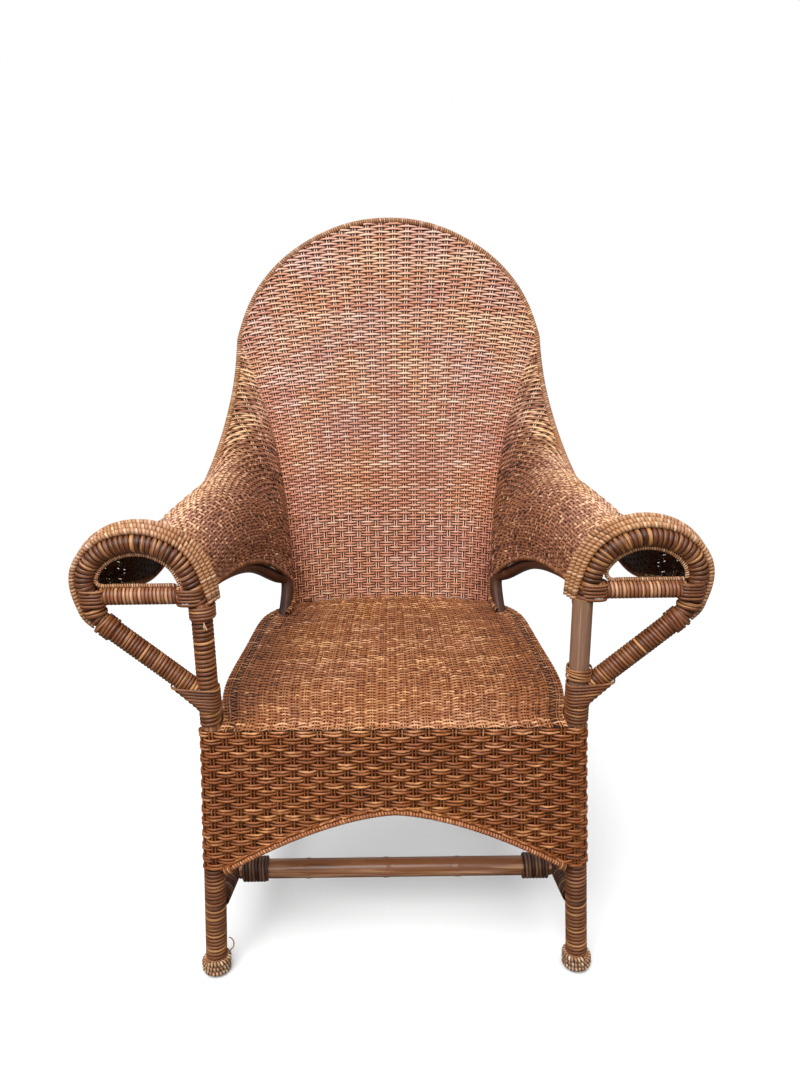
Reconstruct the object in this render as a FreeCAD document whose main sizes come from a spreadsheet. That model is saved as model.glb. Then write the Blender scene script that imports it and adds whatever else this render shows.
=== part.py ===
import FreeCAD, Part
import Sketcher
import math
import os

# High-backed wicker armchair with rolled arms.
# Bent cane poles carry a woven back, two woven rolled arms, a woven seat and a woven apron.
# X runs across the chair, Y from front to back, Z up; lengths are millimetres.
# The chair is laid out with the front legs on Y = 0, then every piece is moved back by originBack,
# so that the origin lies on the floor under the middle of the chair.

doc = FreeCAD.newDocument("WickerArmchair")
sheet = doc.addObject("Spreadsheet::Sheet", "Sizes")

sizeRows = [
    # the whole chair
    ("seatHeight", 396, "floor to the middle of the woven seat"),
    ("seatDepth", 460, "front legs to the foot of the woven back"),
    ("halfSpan", 240.5, "mid-plane to a front leg at the seat"),
    ("backRise", 666, "seat to the hoop's middle at the top of the back"),
    ("fit", 0.3, "clearance between a piece and its seat"),
    # legs
    ("legDiameter", 24, "front and rear leg poles"),
    ("footSplay", 20.5, "a front foot outside the leg's upper part"),
    ("postRise", 160, "seat to the top of a front leg"),
    ("legBendDrop", 22, "seat down to the start of the front leg's bend"),
    ("legBendRadius", 420, "bend of a front leg below the seat"),
    ("rearFootInset", 35.5, "a rear foot inside the front leg's upper part"),
    ("rearFootBack", 560, "front legs to the rear feet"),
    ("legWrapDiameter", 30, "cane wrap on a leg below the apron"),
    ("postWrapDiameter", 27, "cane wrap on the left post above the seat"),
    # frame of the seat
    ("railDiameter", 18, "side and rear seat rails"),
    ("frontRailDiameter", 20, "front seat rail"),
    ("crossPoleDiameter", 14, "two poles under the woven seat"),
    # stretchers
    ("stretcherHeight", 108, "floor to the stretchers' middle"),
    ("crossStretcherBack", 80, "front legs to the cross stretcher"),
    ("crossStretcherDiameter", 28, "bare cross stretcher"),
    ("sideStretcherDiameter", 22, "side stretcher pole"),
    ("sideWrapDiameter", 29, "cane wrap on a side stretcher"),
    ("rearStretcherDiameter", 20, "rear stretcher"),
    # arm fronts
    ("bowWidth", 123, "post to the outer side of the bow, middle to middle"),
    ("bowRise", 92, "top of the post to the top of the bow, middle to middle"),
    ("bowDiameter", 22.5, "wrapped bow pole"),
    ("barDiameter", 17, "bar across the bow"),
    ("barWrapDiameter", 21, "cane wrap on the bar"),
    ("braceDiameter", 21, "diagonal brace"),
    ("braceWrapDiameter", 27, "cane wrap on the brace"),
    ("braceFootRise", 39, "seat to where the brace meets the post"),
    ("beadDiameter", 7.5, "each of the three beads round the bow"),
    ("innerBeadDiameter", 5, "bead round the opening of the bow"),
    # edges
    ("hoopDiameter", 9.5, "wrapped hoop round the back and the arms"),
    ("armRailDiameter", 20, "bent pole under the arm"),
    ("borderDiameter", 8, "wrapped border of the armhole"),
    ("apronBorderDiameter", 8, "wrapped rod under the apron"),
    ("tieLength", 11, "wrapped tie at each end of that rod"),
    ("tieWall", 2.5, "thickness of the tie"),
    # woven skins
    ("backSkin", 5, "thickness of the woven back and arms"),
    ("seatSkin", 4, "thickness of the woven seat"),
    ("apronSkin", 3.5, "thickness of the woven apron"),
    ("seatSag", 7, "dip in the middle of the seat"),
    ("apronSideDrop", 222, "seat to the apron's lower edge beside the legs"),
    ("apronMidDrop", 130, "seat to the apron's lower edge in the middle"),
    # windings of flat cane
    ("footBare", 3, "bare end of a front leg above the floor"),
    ("stretcherWrapDiameter", 38, "cane wrap at each end of the cross stretcher"),
    ("stretcherWrapLength", 37, "cane wrap at each end of the cross stretcher"),
    ("footCaneWidth", 7, "heavy cane coiled round a foot"),
    ("footCaneThickness", 6.4, "heavy cane coiled round a foot"),
    ("footCanePitch", 7.8, "advance of a foot coil in one turn"),
    ("footLift", 1, "floor to the underside of a foot coil"),
]
for row, (alias, value, meaning) in enumerate(sizeRows, start=1):
    sheet.set("A%d" % row, meaning)
    sheet.set("B%d" % row, str(value))
    sheet.setAlias("B%d" % row, alias)
doc.recompute()


def size(alias):
    """Value of one driving dimension."""
    return float(sheet.get(alias))


seatHeight = size("seatHeight")
seatDepth = size("seatDepth")
halfSpan = size("halfSpan")
backRise = size("backRise")
fit = size("fit")
legRadius = size("legDiameter") / 2
postTop = seatHeight + size("postRise")
railRadius = size("railDiameter") / 2
hoopRadius = size("hoopDiameter") / 2
borderRadius = size("borderDiameter") / 2
bowRadius = size("bowDiameter") / 2
beadRadius = size("beadDiameter") / 2
backSkin = size("backSkin")
seatSkin = size("seatSkin")
apronSkin = size("apronSkin")
stretcherHeight = size("stretcherHeight")

# The chair reaches from the foot coils in front to the top of the hoop behind.
hoopBackShare = 1.348
frontReach = size("legWrapDiameter") / 2 + 3 * fit + size("footCaneThickness")
backReach = hoopBackShare * seatDepth + hoopRadius
originBack = (backReach - frontReach) / 2
toOrigin = FreeCAD.Placement(FreeCAD.Vector(0, -originBack, 0), FreeCAD.Rotation())

# Smooth lines: an even cubic spline through chosen points, straight at both ends.
splineSweeps = 30


def splinePoles(points):
    """Poles of the spline that passes through the points."""
    poles = [FreeCAD.Vector(point) for point in points]
    for sweep in range(splineSweeps):
        for i in range(1, len(points) - 1):
            poles[i] = (points[i] * 6 - poles[i - 1] - poles[i + 1]) / 4
    return poles


def splineAt(poles, place):
    """Point of the spline at a place from 0 to the number of its spans."""
    last = len(poles) - 1
    span = max(0, min(int(place), last - 1))
    part = place - span
    rest = 1 - part
    before = poles[span - 1] if span > 0 else poles[0] * 2 - poles[1]
    after = poles[span + 2] if span + 2 <= last else poles[last] * 2 - poles[last - 1]
    middle = poles[span] * (3 * part**3 - 6 * part**2 + 4)
    middle = middle + poles[span + 1] * (3 * rest**3 - 6 * rest**2 + 4)
    return (before * rest**3 + middle + after * part**3) / 6


def steps(first, last, count):
    """Evenly spaced numbers from first to last."""
    return [first + (last - first) * i / (count - 1) for i in range(count)]


def lineThrough(points, count):
    """Evenly spaced points of the spline through the given points."""
    poles = splinePoles(points)
    return [splineAt(poles, place) for place in steps(0, len(points) - 1, count)]


def mirrored(points):
    """The same points on the other side of the mid-plane."""
    return [FreeCAD.Vector(-point.x, point.y, point.z) for point in points]


# Guide lines of the woven back and arms, as shares of halfSpan, seatDepth and backRise above the seat.
# Each row is one line from the seat (first row) to the hoop (last row).
backHalfShares = [
    [(0, 1.017, -0.003), (0.258, 1.013, -0.003), (0.499, 1.000, -0.003), (0.665, 0.974, -0.003),
     (0.740, 0.952, -0.003)],
    [(0, 1.078, 0.224), (0.262, 1.074, 0.216), (0.516, 1.059, 0.201), (0.682, 1.035, 0.179),
     (0.765, 1.013, 0.156)],
    [(0, 1.159, 0.479), (0.274, 1.152, 0.464), (0.549, 1.130, 0.426), (0.732, 1.102, 0.374),
     (0.815, 1.080, 0.329)],
    [(0, 1.248, 0.742), (0.316, 1.241, 0.719), (0.632, 1.220, 0.667), (0.848, 1.191, 0.584),
     (0.935, 1.167, 0.517)],
    [(0, hoopBackShare, 1), (0.374, 1.341, 0.979), (0.757, 1.318, 0.905), (1.010, 1.286, 0.800),
     (1.127, 1.253, 0.694)],
]
armShares = [
    [(0.740, 0.952, -0.003), (0.732, 0.913, 0.064), (0.786, 0.859, 0.114), (0.881, 0.707, 0.177),
     (0.956, 0.435, 0.230), (0.981, 0.207, 0.254)],
    [(0.765, 1.013, 0.156), (0.778, 0.983, 0.186), (0.832, 0.913, 0.224), (0.906, 0.728, 0.269),
     (0.973, 0.446, 0.303), (1.019, 0.207, 0.326)],
    [(0.815, 1.080, 0.329), (0.861, 1.043, 0.314), (0.951, 0.967, 0.327), (1.044, 0.750, 0.359),
     (1.156, 0.457, 0.372), (1.234, 0.207, 0.372)],
    [(0.935, 1.167, 0.517), (1.002, 1.113, 0.445), (1.116, 0.989, 0.399), (1.246, 0.761, 0.375),
     (1.373, 0.461, 0.343), (1.446, 0.207, 0.332)],
    [(1.127, 1.253, 0.694), (1.164, 1.174, 0.558), (1.255, 0.983, 0.406), (1.366, 0.750, 0.296),
     (1.443, 0.467, 0.228), (1.472, 0.207, 0.248)],
]


def fromShares(share):
    """Point of a guide line from its shares."""
    return FreeCAD.Vector(share[0] * halfSpan, share[1] * seatDepth, seatHeight + share[2] * backRise)


# The bow of an arm front: from the top of the post over the arm to its outer side, in the plane Y = 0.
bowShares = [(0, 0), (0.065, 0.35), (0.170, 0.700), (0.380, 0.925), (0.630, 1), (0.907, 0.913),
             (1.110, 0.674), (1.163, 0.391), (1.110, 0.090)]
bowPoints = [
    FreeCAD.Vector(halfSpan + across * size("bowWidth"), 0, postTop + up * size("bowRise"))
    for across, up in bowShares
]
bowPoles = splinePoles(bowPoints)
bowSpans = len(bowPoints) - 1


def bowSide(place):
    """Point of the bow and its outward direction in the bow's plane."""
    step = 0.01
    here = splineAt(bowPoles, place)
    ahead = splineAt(bowPoles, min(place + step, bowSpans))
    behind = splineAt(bowPoles, max(place - step, 0))
    along = (ahead - behind).normalize()
    return here, FreeCAD.Vector(-along.z, 0, along.x)


# The beads climb away from the bow towards the sitter, and lie straight behind each other on the far side.
beadClimbAngle = 40
beadGap = fit
beadForwardShare = 0.15


def beadPoint(place, number):
    """Middle of one bead beside the bow, number 0 lying against the bow."""
    here, outward = bowSide(place)
    climb = math.radians(beadClimbAngle) * (1 - ((1 + outward.x) / 2) ** 2)
    step = 2 * beadRadius + beadGap
    away = bowRadius + fit + beadRadius + number * step * math.sin(climb)
    back = -beadForwardShare * beadRadius + number * step * math.cos(climb)
    return here + outward * away + FreeCAD.Vector(0, back, 0)


beadCount = 3
# Where the woven arm's guide lines end, as shares of the bow.
bowContourShares = [0.125, 0.275, 0.5, 0.75, 0.91875]


def armFrontPoint(place):
    """Middle of the woven arm's front edge, which lies under the last bead."""
    here, outward = bowSide(place)
    under = beadRadius + fit + backSkin / 2
    return beadPoint(place, beadCount - 1) - outward * under


backHalf = [[fromShares(share) for share in line] for line in backHalfShares]
backLines = [splinePoles(mirrored(line)[:0:-1] + line) for line in backHalf]
backSpans = 2 * (len(backHalf[0]) - 1)
armLines = []
for line, bowShare in zip(armShares, bowContourShares):
    points = [fromShares(share) for share in line] + [armFrontPoint(bowShare * bowSpans)]
    armLines.append(splinePoles(points))
armSpans = len(armShares[0])
stakeSpans = len(armShares) - 1


def stakePoles(lines, place):
    """Poles of the stake that crosses the guide lines at one place."""
    return splinePoles([splineAt(line, place) for line in lines])


def skinPoint(lines, place, up):
    """Point of a woven surface and its direction: to the sitter on the back, outwards on an arm."""
    step = 0.02
    here = splineAt(stakePoles(lines, place), up)
    aside = splineAt(stakePoles(lines, place + step), up) - splineAt(stakePoles(lines, place - step), up)
    stake = stakePoles(lines, place)
    above = splineAt(stake, up + step) - splineAt(stake, up - step)
    return here, aside.cross(above).normalize()


# Solids shared by many pieces.


def frames(points):
    """Directions along a line of points, each with a side direction that doesn't twist."""
    found = []
    side = None
    for i, point in enumerate(points):
        ahead = points[min(i + 1, len(points) - 1)]
        behind = points[max(i - 1, 0)]
        along = (ahead - behind).normalize()
        if side is None:
            lean = FreeCAD.Vector(0, 1, 0) if abs(along.y) < 0.9 else FreeCAD.Vector(1, 0, 0)
            side = lean
        side = (side - along * side.dot(along)).normalize()
        found.append((point, along, FreeCAD.Vector(side)))
    return found


def tube(points, radius, sides=16):
    """A bent pole through the points, with many narrow sides."""
    wires = []
    for point, along, side in frames(points):
        turn = FreeCAD.Rotation(side, along.cross(side), along, "ZXY")
        corners = []
        for i in range(sides + 1):
            angle = 2 * math.pi * (i % sides) / sides
            corners.append(FreeCAD.Vector(radius * math.cos(angle), radius * math.sin(angle), 0))
        outline = Part.makePolygon(corners)
        outline.Placement = FreeCAD.Placement(point, turn)
        wires.append(outline)
    return Part.makeLoft(wires, True, True)


def straight(start, end, radius):
    """A straight round pole between two points."""
    return Part.makeCylinder(radius, (end - start).Length, start, end - start)


def facet(*corners):
    """A flat face through its corners."""
    return Part.Face(Part.makePolygon(list(corners) + [corners[0]]))


def thinSolid(sections):
    """A thin solid of flat facets through its sections, each one a line of points on either side."""
    faces = []

    def strip(near, far):
        """Pairs of facets between two lines of points."""
        for i in range(len(near) - 1):
            faces.append(facet(near[i], near[i + 1], far[i]))
            faces.append(facet(near[i + 1], far[i + 1], far[i]))

    for (upper, lower), (nextUpper, nextLower) in zip(sections, sections[1:]):
        strip(upper, nextUpper)
        strip(nextLower, lower)
        for end in (0, -1):
            strip([upper[end], nextUpper[end]], [lower[end], nextLower[end]])
    for upper, lower in (sections[0], sections[-1]):
        strip(upper, lower)
    shell = Part.Shell(faces)
    shell.sewShape()
    solid = Part.Solid(shell)
    if solid.Volume < 0:
        solid.reverse()
    return solid


def seamDirection(up):
    """Direction shared by the woven back and the right arm where they meet."""
    onBack = skinPoint(backLines, backSpans, up)[1]
    onArm = skinPoint(armLines, 0, up)[1]
    return (onBack + onArm).normalize()


def seamLeft(up):
    """The same on the left."""
    onRight = seamDirection(up)
    return FreeCAD.Vector(-onRight.x, onRight.y, onRight.z)


def edgeInset(lines, place, end, trim):
    """How far a skin stops along its stake to lie a trim away from the rod on its edge."""
    reach = 0.1
    inner = end + reach if end == 0 else end - reach
    stake = stakePoles(lines, place)
    along = splineAt(stake, inner) - splineAt(stake, end)
    rod = splineAt(lines[end], place + reach) - splineAt(lines[end], place - reach)
    square = along.cross(rod).Length / rod.Length
    return reach * trim / square


def skin(lines, places, ups, thickness, trims, seams):
    """A thin woven skin through its stakes, with its two edges drawn back by the trims."""
    sections = []
    for place in places:
        first = edgeInset(lines, place, 0, trims[0])
        last = stakeSpans - edgeInset(lines, place, stakeSpans, trims[1])
        upper = []
        lower = []
        for up in steps(first, last, ups):
            here, outward = skinPoint(lines, place, up)
            if place in seams:
                outward = seams[place](up)
            upper.append(here + outward * thickness / 2)
            lower.append(here - outward * thickness / 2)
        sections.append((upper, lower))
    return thinSolid(sections)


parts = []


def addShape(label, shape, placement=None):
    """A piece whose shape is set here, in the chair's own place."""
    item = doc.addObject("Part::Feature", label)
    item.Label = label
    item.Shape = shape
    item.Placement = toOrigin if placement is None else toOrigin.multiply(placement)
    parts.append(item)
    return item


def addPair(name, shape):
    """A piece on the right and its mirror image on the left."""
    addShape(name + "_right", shape)
    addShape(name + "_left", shape.mirror(FreeCAD.Vector(0, 0, 0), FreeCAD.Vector(1, 0, 0)))


def turned(start, end):
    """Placement that carries the Z axis onto the line from start to end."""
    rotation = FreeCAD.Rotation(FreeCAD.Vector(0, 0, 1), end - start)
    return toOrigin.multiply(FreeCAD.Placement(start, rotation))


def cylinder(name, start, end, radiusRule):
    """A straight pole as a cylinder bound to the sheet."""
    item = doc.addObject("Part::Cylinder", name)
    item.setExpression("Radius", radiusRule)
    item.Height = (end - start).Length
    item.Placement = turned(start, end)
    return item


def cutBy(label, base, tools):
    """A piece left of the base after each tool is cut away."""
    for number, tool in enumerate(tools):
        item = doc.addObject("Part::Cut", "%s_cut_%d" % (label, number))
        item.Base = base
        item.Tool = tool
        base = item
    base.Label = label
    parts.append(base)
    return base


wrapSides = 20


def prism(name, start, end, radiusRule):
    """A straight many-sided rod bound to the sheet."""
    item = doc.addObject("Part::Prism", name)
    item.Polygon = wrapSides
    item.setExpression("Circumradius", radiusRule)
    item.Height = (end - start).Length
    item.Placement = turned(start, end)
    return item


def sleeve(label, start, end, outerAlias, innerAlias):
    """A cane wrap of many fine turns round a straight pole, as one many-sided sleeve."""
    overrun = (end - start).normalize() * fit
    outer = prism(label + "_outer", start, end, "Sizes.%s / 2" % outerAlias)
    boreRule = "(Sizes.%s / 2 + Sizes.fit) / cos(180deg / %d)" % (innerAlias, wrapSides)
    inner = prism(label + "_bore", start - overrun, end + overrun, boreRule)
    return cutBy(label, outer, [inner])


def biarc(start, startAlong, end, endAlong):
    """Two arcs from one point to another that leave and arrive in the given directions."""
    chord = end - start
    both = startAlong + endAlong
    bend = 2 * (1 - startAlong.dot(endAlong))
    reach = (math.sqrt(chord.dot(both) ** 2 + bend * chord.dot(chord)) - chord.dot(both)) / bend
    meet = (start + startAlong * reach + end - endAlong * reach) / 2
    arcs = []
    for point, along, other in ((start, startAlong, meet), (end, endAlong * -1, meet)):
        span = other - point
        aside = (span - along * span.dot(along)).normalize()
        radius = span.dot(span) / (2 * span.dot(aside))
        centre = point + aside * radius
        middle = centre + ((point - centre) + (other - centre)).normalize() * radius
        arcs.append((point, middle, other))
    first, second = arcs
    return [Part.Arc(*first).toShape(), Part.Arc(*second[::-1]).toShape()]


halves = 2


def winding(label, start, along, bore, cane, pitch, turns):
    """Flat cane wound round a straight pole as one unbroken tube; cane is its width and thickness."""
    width, thickness = cane
    radius = bore + 3 * fit + thickness / 2
    side = FreeCAD.Vector(0, 0, 1) if abs(along.z) < abs(along.x) else FreeCAD.Vector(0, -1, 0)
    side = (side - along * side.dot(along)).normalize()
    across = along.cross(side)

    def at(turn):
        """Point of the winding and its direction after some turns."""
        angle = 2 * math.pi * turn
        outward = side * math.cos(angle) + across * math.sin(angle)
        onward = across * math.cos(angle) - side * math.sin(angle)
        step = (onward * (2 * math.pi * radius) + along * pitch).normalize()
        return start + outward * radius + along * (pitch * turn), step, outward

    edges = []
    for number in range(int(turns * halves)):
        near = at(number / halves)
        far = at((number + 1) / halves)
        edges += biarc(near[0], near[1], far[0], far[1])
    path = Part.Wire(edges)
    first, heading, outward = at(0)
    wide = heading.cross(outward) * (width / 2)
    thick = outward * (thickness / 2)
    corners = [first + wide + thick, first + wide - thick, first - wide - thick, first - wide + thick]
    outline = Part.makePolygon(corners + corners[:1])
    shape = path.makePipeShell([outline], True, False)
    points = path.discretize(Number=int(turns * 60))
    apart = [
        (points[i] - points[j]).Length
        for i in range(len(points))
        for j in range(i + 40, len(points))
    ]
    if apart:
        print(label, "least gap to itself %.2f mm" % (min(apart) - width))
    return shape


# Front legs: a pole that splays outwards below the seat, drawn as a path and a round profile.
bendTop = seatHeight - size("legBendDrop")
bendRadius = size("legBendRadius")
bendMiddle = FreeCAD.Vector(halfSpan + bendRadius, 0, bendTop)
footPoint = FreeCAD.Vector(halfSpan + size("footSplay"), 0, 0)
toBend = bendMiddle - footPoint
legAngle = math.atan2(toBend.z, toBend.x) + math.asin(bendRadius / toBend.Length)
legAlong = FreeCAD.Vector(math.cos(legAngle), 0, math.sin(legAngle))
bendStart = footPoint + legAlong * math.sqrt(toBend.Length**2 - bendRadius**2)


def legAt(height):
    """Middle of the right front leg's straight lower part at a height."""
    return footPoint + legAlong * (height / legAlong.z)


footRule = "Sizes.halfSpan + Sizes.footSplay"


def originPlane(body, role):
    """One of the body's own base planes."""
    return [plane for plane in body.Origin.OriginFeatures if plane.Role == role][0]


def frontLeg(label, facing):
    """A bent front leg as a body; facing is 1 on the right and -1 on the left."""
    body = doc.addObject("PartDesign::Body", label + "_body")
    path = body.newObject("Sketcher::SketchObject", label + "_path")
    path.AttachmentSupport = [(originPlane(body, "XZ_Plane"), "")]
    path.MapMode = "FlatFace"
    start = FreeCAD.Vector(footPoint.x, 0, 0)
    touch = FreeCAD.Vector(bendStart.x, bendStart.z, 0)
    middle = FreeCAD.Vector(bendMiddle.x, bendMiddle.z, 0)
    knee = FreeCAD.Vector(halfSpan, bendTop, 0)
    top = FreeCAD.Vector(halfSpan, postTop, 0)
    lower = path.addGeometry(Part.LineSegment(start, touch))
    turn = math.atan2(touch.y - middle.y, touch.x - middle.x)
    circle = Part.Circle(middle, FreeCAD.Vector(0, 0, 1), bendRadius)
    bend = path.addGeometry(Part.ArcOfCircle(circle, math.pi, turn))
    upper = path.addGeometry(Part.LineSegment(knee, top))
    constraints = [
        ("PointOnObject", lower, 1, -1),
        ("Tangent", lower, 2, bend, 2),
        ("Tangent", bend, 1, upper, 1),
        ("Vertical", upper),
    ]
    for rule in constraints:
        path.addConstraint(Sketcher.Constraint(*rule))
    measures = [
        ("foot", "DistanceX", (-1, 1, lower, 1), start.x, footRule),
        ("halfSpan", "DistanceX", (-1, 1, upper, 2), top.x, "Sizes.halfSpan"),
        ("top", "DistanceY", (-1, 1, upper, 2), top.y, "Sizes.seatHeight + Sizes.postRise"),
        ("knee", "DistanceY", (-1, 1, upper, 1), knee.y, "Sizes.seatHeight - Sizes.legBendDrop"),
        ("bend", "Radius", (bend,), bendRadius, "Sizes.legBendRadius"),
    ]
    for name, kind, places, value, rule in measures:
        index = path.addConstraint(Sketcher.Constraint(kind, *places, value))
        path.renameConstraint(index, name)
        path.setExpression("Constraints." + name, rule)
    outline = body.newObject("Sketcher::SketchObject", label + "_outline")
    outline.AttachmentSupport = [(originPlane(body, "XY_Plane"), "")]
    outline.MapMode = "FlatFace"
    ring = outline.addGeometry(Part.Circle(start, FreeCAD.Vector(0, 0, 1), legRadius))
    outline.addConstraint(Sketcher.Constraint("PointOnObject", ring, 3, -1))
    index = outline.addConstraint(Sketcher.Constraint("DistanceX", -1, 1, ring, 3, start.x))
    outline.renameConstraint(index, "middle")
    outline.setExpression("Constraints.middle", footRule)
    index = outline.addConstraint(Sketcher.Constraint("Diameter", ring, 2 * legRadius))
    outline.renameConstraint(index, "pole")
    outline.setExpression("Constraints.pole", "Sizes.legDiameter")
    pipe = body.newObject("PartDesign::AdditivePipe", label + "_pole")
    pipe.Profile = outline
    pipe.Spine = path
    body.Tip = pipe
    body.Label = label
    half = FreeCAD.Rotation(FreeCAD.Vector(0, 0, 1), 0 if facing > 0 else 180)
    body.Placement = FreeCAD.Placement(FreeCAD.Vector(0, -originBack, 0), half)
    outline.Visibility = False
    path.Visibility = False
    parts.append(body)
    return body


frontLeg("front_leg_right", 1)
frontLeg("front_leg_left", -1)

# Seat rails, all at one height under the woven seat.
railHeight = seatHeight - seatSkin / 2 - 2 * fit - railRadius
frontRailRadius = size("frontRailDiameter") / 2
frontRailHeight = seatHeight - seatSkin / 2 - 2 * fit - frontRailRadius
frontRailForward = legRadius - frontRailRadius


def acrossX(reach, back, height):
    """Two points level with each other, at the same distance from the mid-plane."""
    return FreeCAD.Vector(-reach, back, height), FreeCAD.Vector(reach, back, height)


def postCutter(name, side, radiusRule):
    """The upper part of a front leg, as the space that a neighbour leaves for it."""
    low = FreeCAD.Vector(side * halfSpan, 0, bendTop - legRadius)
    high = FreeCAD.Vector(side * halfSpan, 0, postTop)
    return cylinder(name, low, high, radiusRule)


railEnds = acrossX(halfSpan, -frontRailForward, frontRailHeight)
frontRail = cylinder("front_rail_pole", railEnds[0], railEnds[1], "Sizes.frontRailDiameter / 2")
postSpaceRule = "Sizes.legDiameter / 2 + Sizes.fit"
frontRailTools = [postCutter("front_rail_tool_%d" % side, side, postSpaceRule) for side in (-1, 1)]
cutBy("seat_rail_front", frontRail, frontRailTools)

rearRailLine = [splineAt(backLines[0], place) for place in steps(0, backSpans, 9)]
rearRailLine = [FreeCAD.Vector(point.x, point.y, railHeight) for point in rearRailLine]
addShape("seat_rail_rear", tube(rearRailLine, railRadius))

# The seat's side edge, as shares of seatDepth and halfSpan.
seatEdgeShares = [(-0.034, 0.944), (0.026, 0.944), (0.080, 0.985), (0.185, 1.010), (0.359, 0.984),
                  (0.524, 0.962), (0.685, 0.917), (0.835, 0.805), (0.952, 0.740)]
seatEdge = [FreeCAD.Vector(across * halfSpan, back * seatDepth, 0) for back, across in seatEdgeShares]
seatFront = -(legRadius + fit + apronSkin)
seatEdge[0].y = seatFront
seatEdgePoles = splinePoles(seatEdge)
seatEdgeSpans = len(seatEdge) - 1


def seatEdgeAt(share):
    """Point of the seat's right edge, from the front (0) to the back (1)."""
    return splineAt(seatEdgePoles, share * seatEdgeSpans)


cornerAlong = (rearRailLine[-1] - rearRailLine[-2]).normalize()
sideRailLine = [rearRailLine[-1] + cornerAlong * (2 * fit)]
sideRailShares = [0.91, 0.84, 0.75, 0.625, 0.5, 0.375]
for share in sideRailShares:
    edge = seatEdgeAt(share)
    sideRailLine.append(FreeCAD.Vector(edge.x - railRadius, edge.y, railHeight))
sideRailLine.append(FreeCAD.Vector(halfSpan - fit, 0, railHeight))
sideRail = tube(lineThrough(sideRailLine, 9), railRadius)
postSpace = straight(
    FreeCAD.Vector(halfSpan, 0, bendTop - legRadius), FreeCAD.Vector(halfSpan, 0, postTop), legRadius + fit
)
rearRailSpace = tube(rearRailLine + [sideRailLine[0]], railRadius + fit)
sideRail = sideRail.cut(postSpace).cut(rearRailSpace)
addPair("seat_rail_side", max(sideRail.Solids, key=lambda solid: solid.Volume))

# Two poles across the seat carry the weave between the side rails.
crossPoleRadius = size("crossPoleDiameter") / 2
crossPoleShares = [("front", 0.36), ("rear", 0.66)]
sideRailSpace = tube(lineThrough(sideRailLine, 9), railRadius + fit)
for name, share in crossPoleShares:
    back = share * seatDepth
    sag = size("seatSag") * math.sin(math.pi * share) ** 2
    crossPoleHeight = seatHeight - seatSkin / 2 - sag - 2 * fit - crossPoleRadius
    reach = [point.x for point in lineThrough(sideRailLine, 40) if abs(point.y - back) < seatDepth / 40][0]
    ends = acrossX(reach, back, crossPoleHeight)
    shape = straight(ends[0], ends[1], crossPoleRadius)
    shape = shape.cut(sideRailSpace)
    shape = shape.cut(sideRailSpace.mirror(FreeCAD.Vector(0, 0, 0), FreeCAD.Vector(1, 0, 0)))
    addShape("seat_cross_pole_" + name, max(shape.Solids, key=lambda solid: solid.Volume))

# Rear legs: from the floor up behind the rear rail, ending as short posts behind the woven back.
postPlaceShare = 0.825
postTopShare = 0.275
postPlace = postPlaceShare * backSpans
postTopUp = postTopShare * stakeSpans
rearLegLine = [FreeCAD.Vector(halfSpan - size("rearFootInset"), size("rearFootBack"), 0)]
kneePoint, kneeOut = skinPoint(backLines, postPlace, 0)
kneeOut = FreeCAD.Vector(kneeOut.x, kneeOut.y, 0).normalize()
knee = kneePoint - kneeOut * (railRadius + legRadius + fit)
knee.z = railHeight
rearLegLine.append((rearLegLine[0] + knee) / 2)
rearLegLine.append(knee)
for up in (postTopUp / 2, postTopUp):
    here, outward = skinPoint(backLines, postPlace, up)
    rearLegLine.append(here - outward * (backSkin / 2 + legRadius + 3 * fit))
rearLegPoints = lineThrough(rearLegLine, 8)
rearLegPoints[0].z = 0


def rearLeg(radius):
    """A rear leg of the given radius, cut level with the floor."""
    shape = tube(rearLegPoints, radius)
    reach = 2 * radius
    below = Part.makeBox(2 * reach, 2 * reach, reach, rearLegPoints[0] - FreeCAD.Vector(reach, reach, reach))
    return shape.cut(below)


addPair("rear_leg", rearLeg(legRadius))
rearLegSpace = rearLeg(legRadius + fit)
rearLegSpaceLeft = rearLegSpace.mirror(FreeCAD.Vector(0, 0, 0), FreeCAD.Vector(1, 0, 0))

# Stretchers: wrapped side stretchers, a bare cross stretcher just behind the front legs, one at the back.
sideFront = legAt(stretcherHeight)
rearAtHeight = splineAt(splinePoles(rearLegPoints), 0)
for place in steps(0, 8, 81):
    point = splineAt(splinePoles(rearLegPoints), place)
    if point.z <= stretcherHeight:
        rearAtHeight = point
sideBack = FreeCAD.Vector(rearAtHeight.x, rearAtHeight.y, stretcherHeight)
sideAlong = (sideBack - sideFront).normalize()


def sideStretcher(radius, sides):
    """A side stretcher between the wrapped front leg and the rear leg."""
    legSpace = straight(legAt(0), legAt(2 * stretcherHeight), size("legWrapDiameter") / 2 + fit)
    shape = tube([sideFront, sideBack], radius, sides).cut(legSpace).cut(rearLegSpace)
    return max(shape.Solids, key=lambda solid: solid.Volume)


sideRadius = size("sideStretcherDiameter") / 2
sideWrapRadius = size("sideWrapDiameter") / 2
addPair("side_stretcher", sideStretcher(sideRadius, wrapSides))
sideBore = tube([sideFront - sideAlong * fit, sideBack + sideAlong * fit], sideRadius + fit, wrapSides)
sideWrap = sideStretcher(sideWrapRadius, wrapSides).cut(sideBore)
addPair("side_stretcher_wrap", sideWrap)

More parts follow.
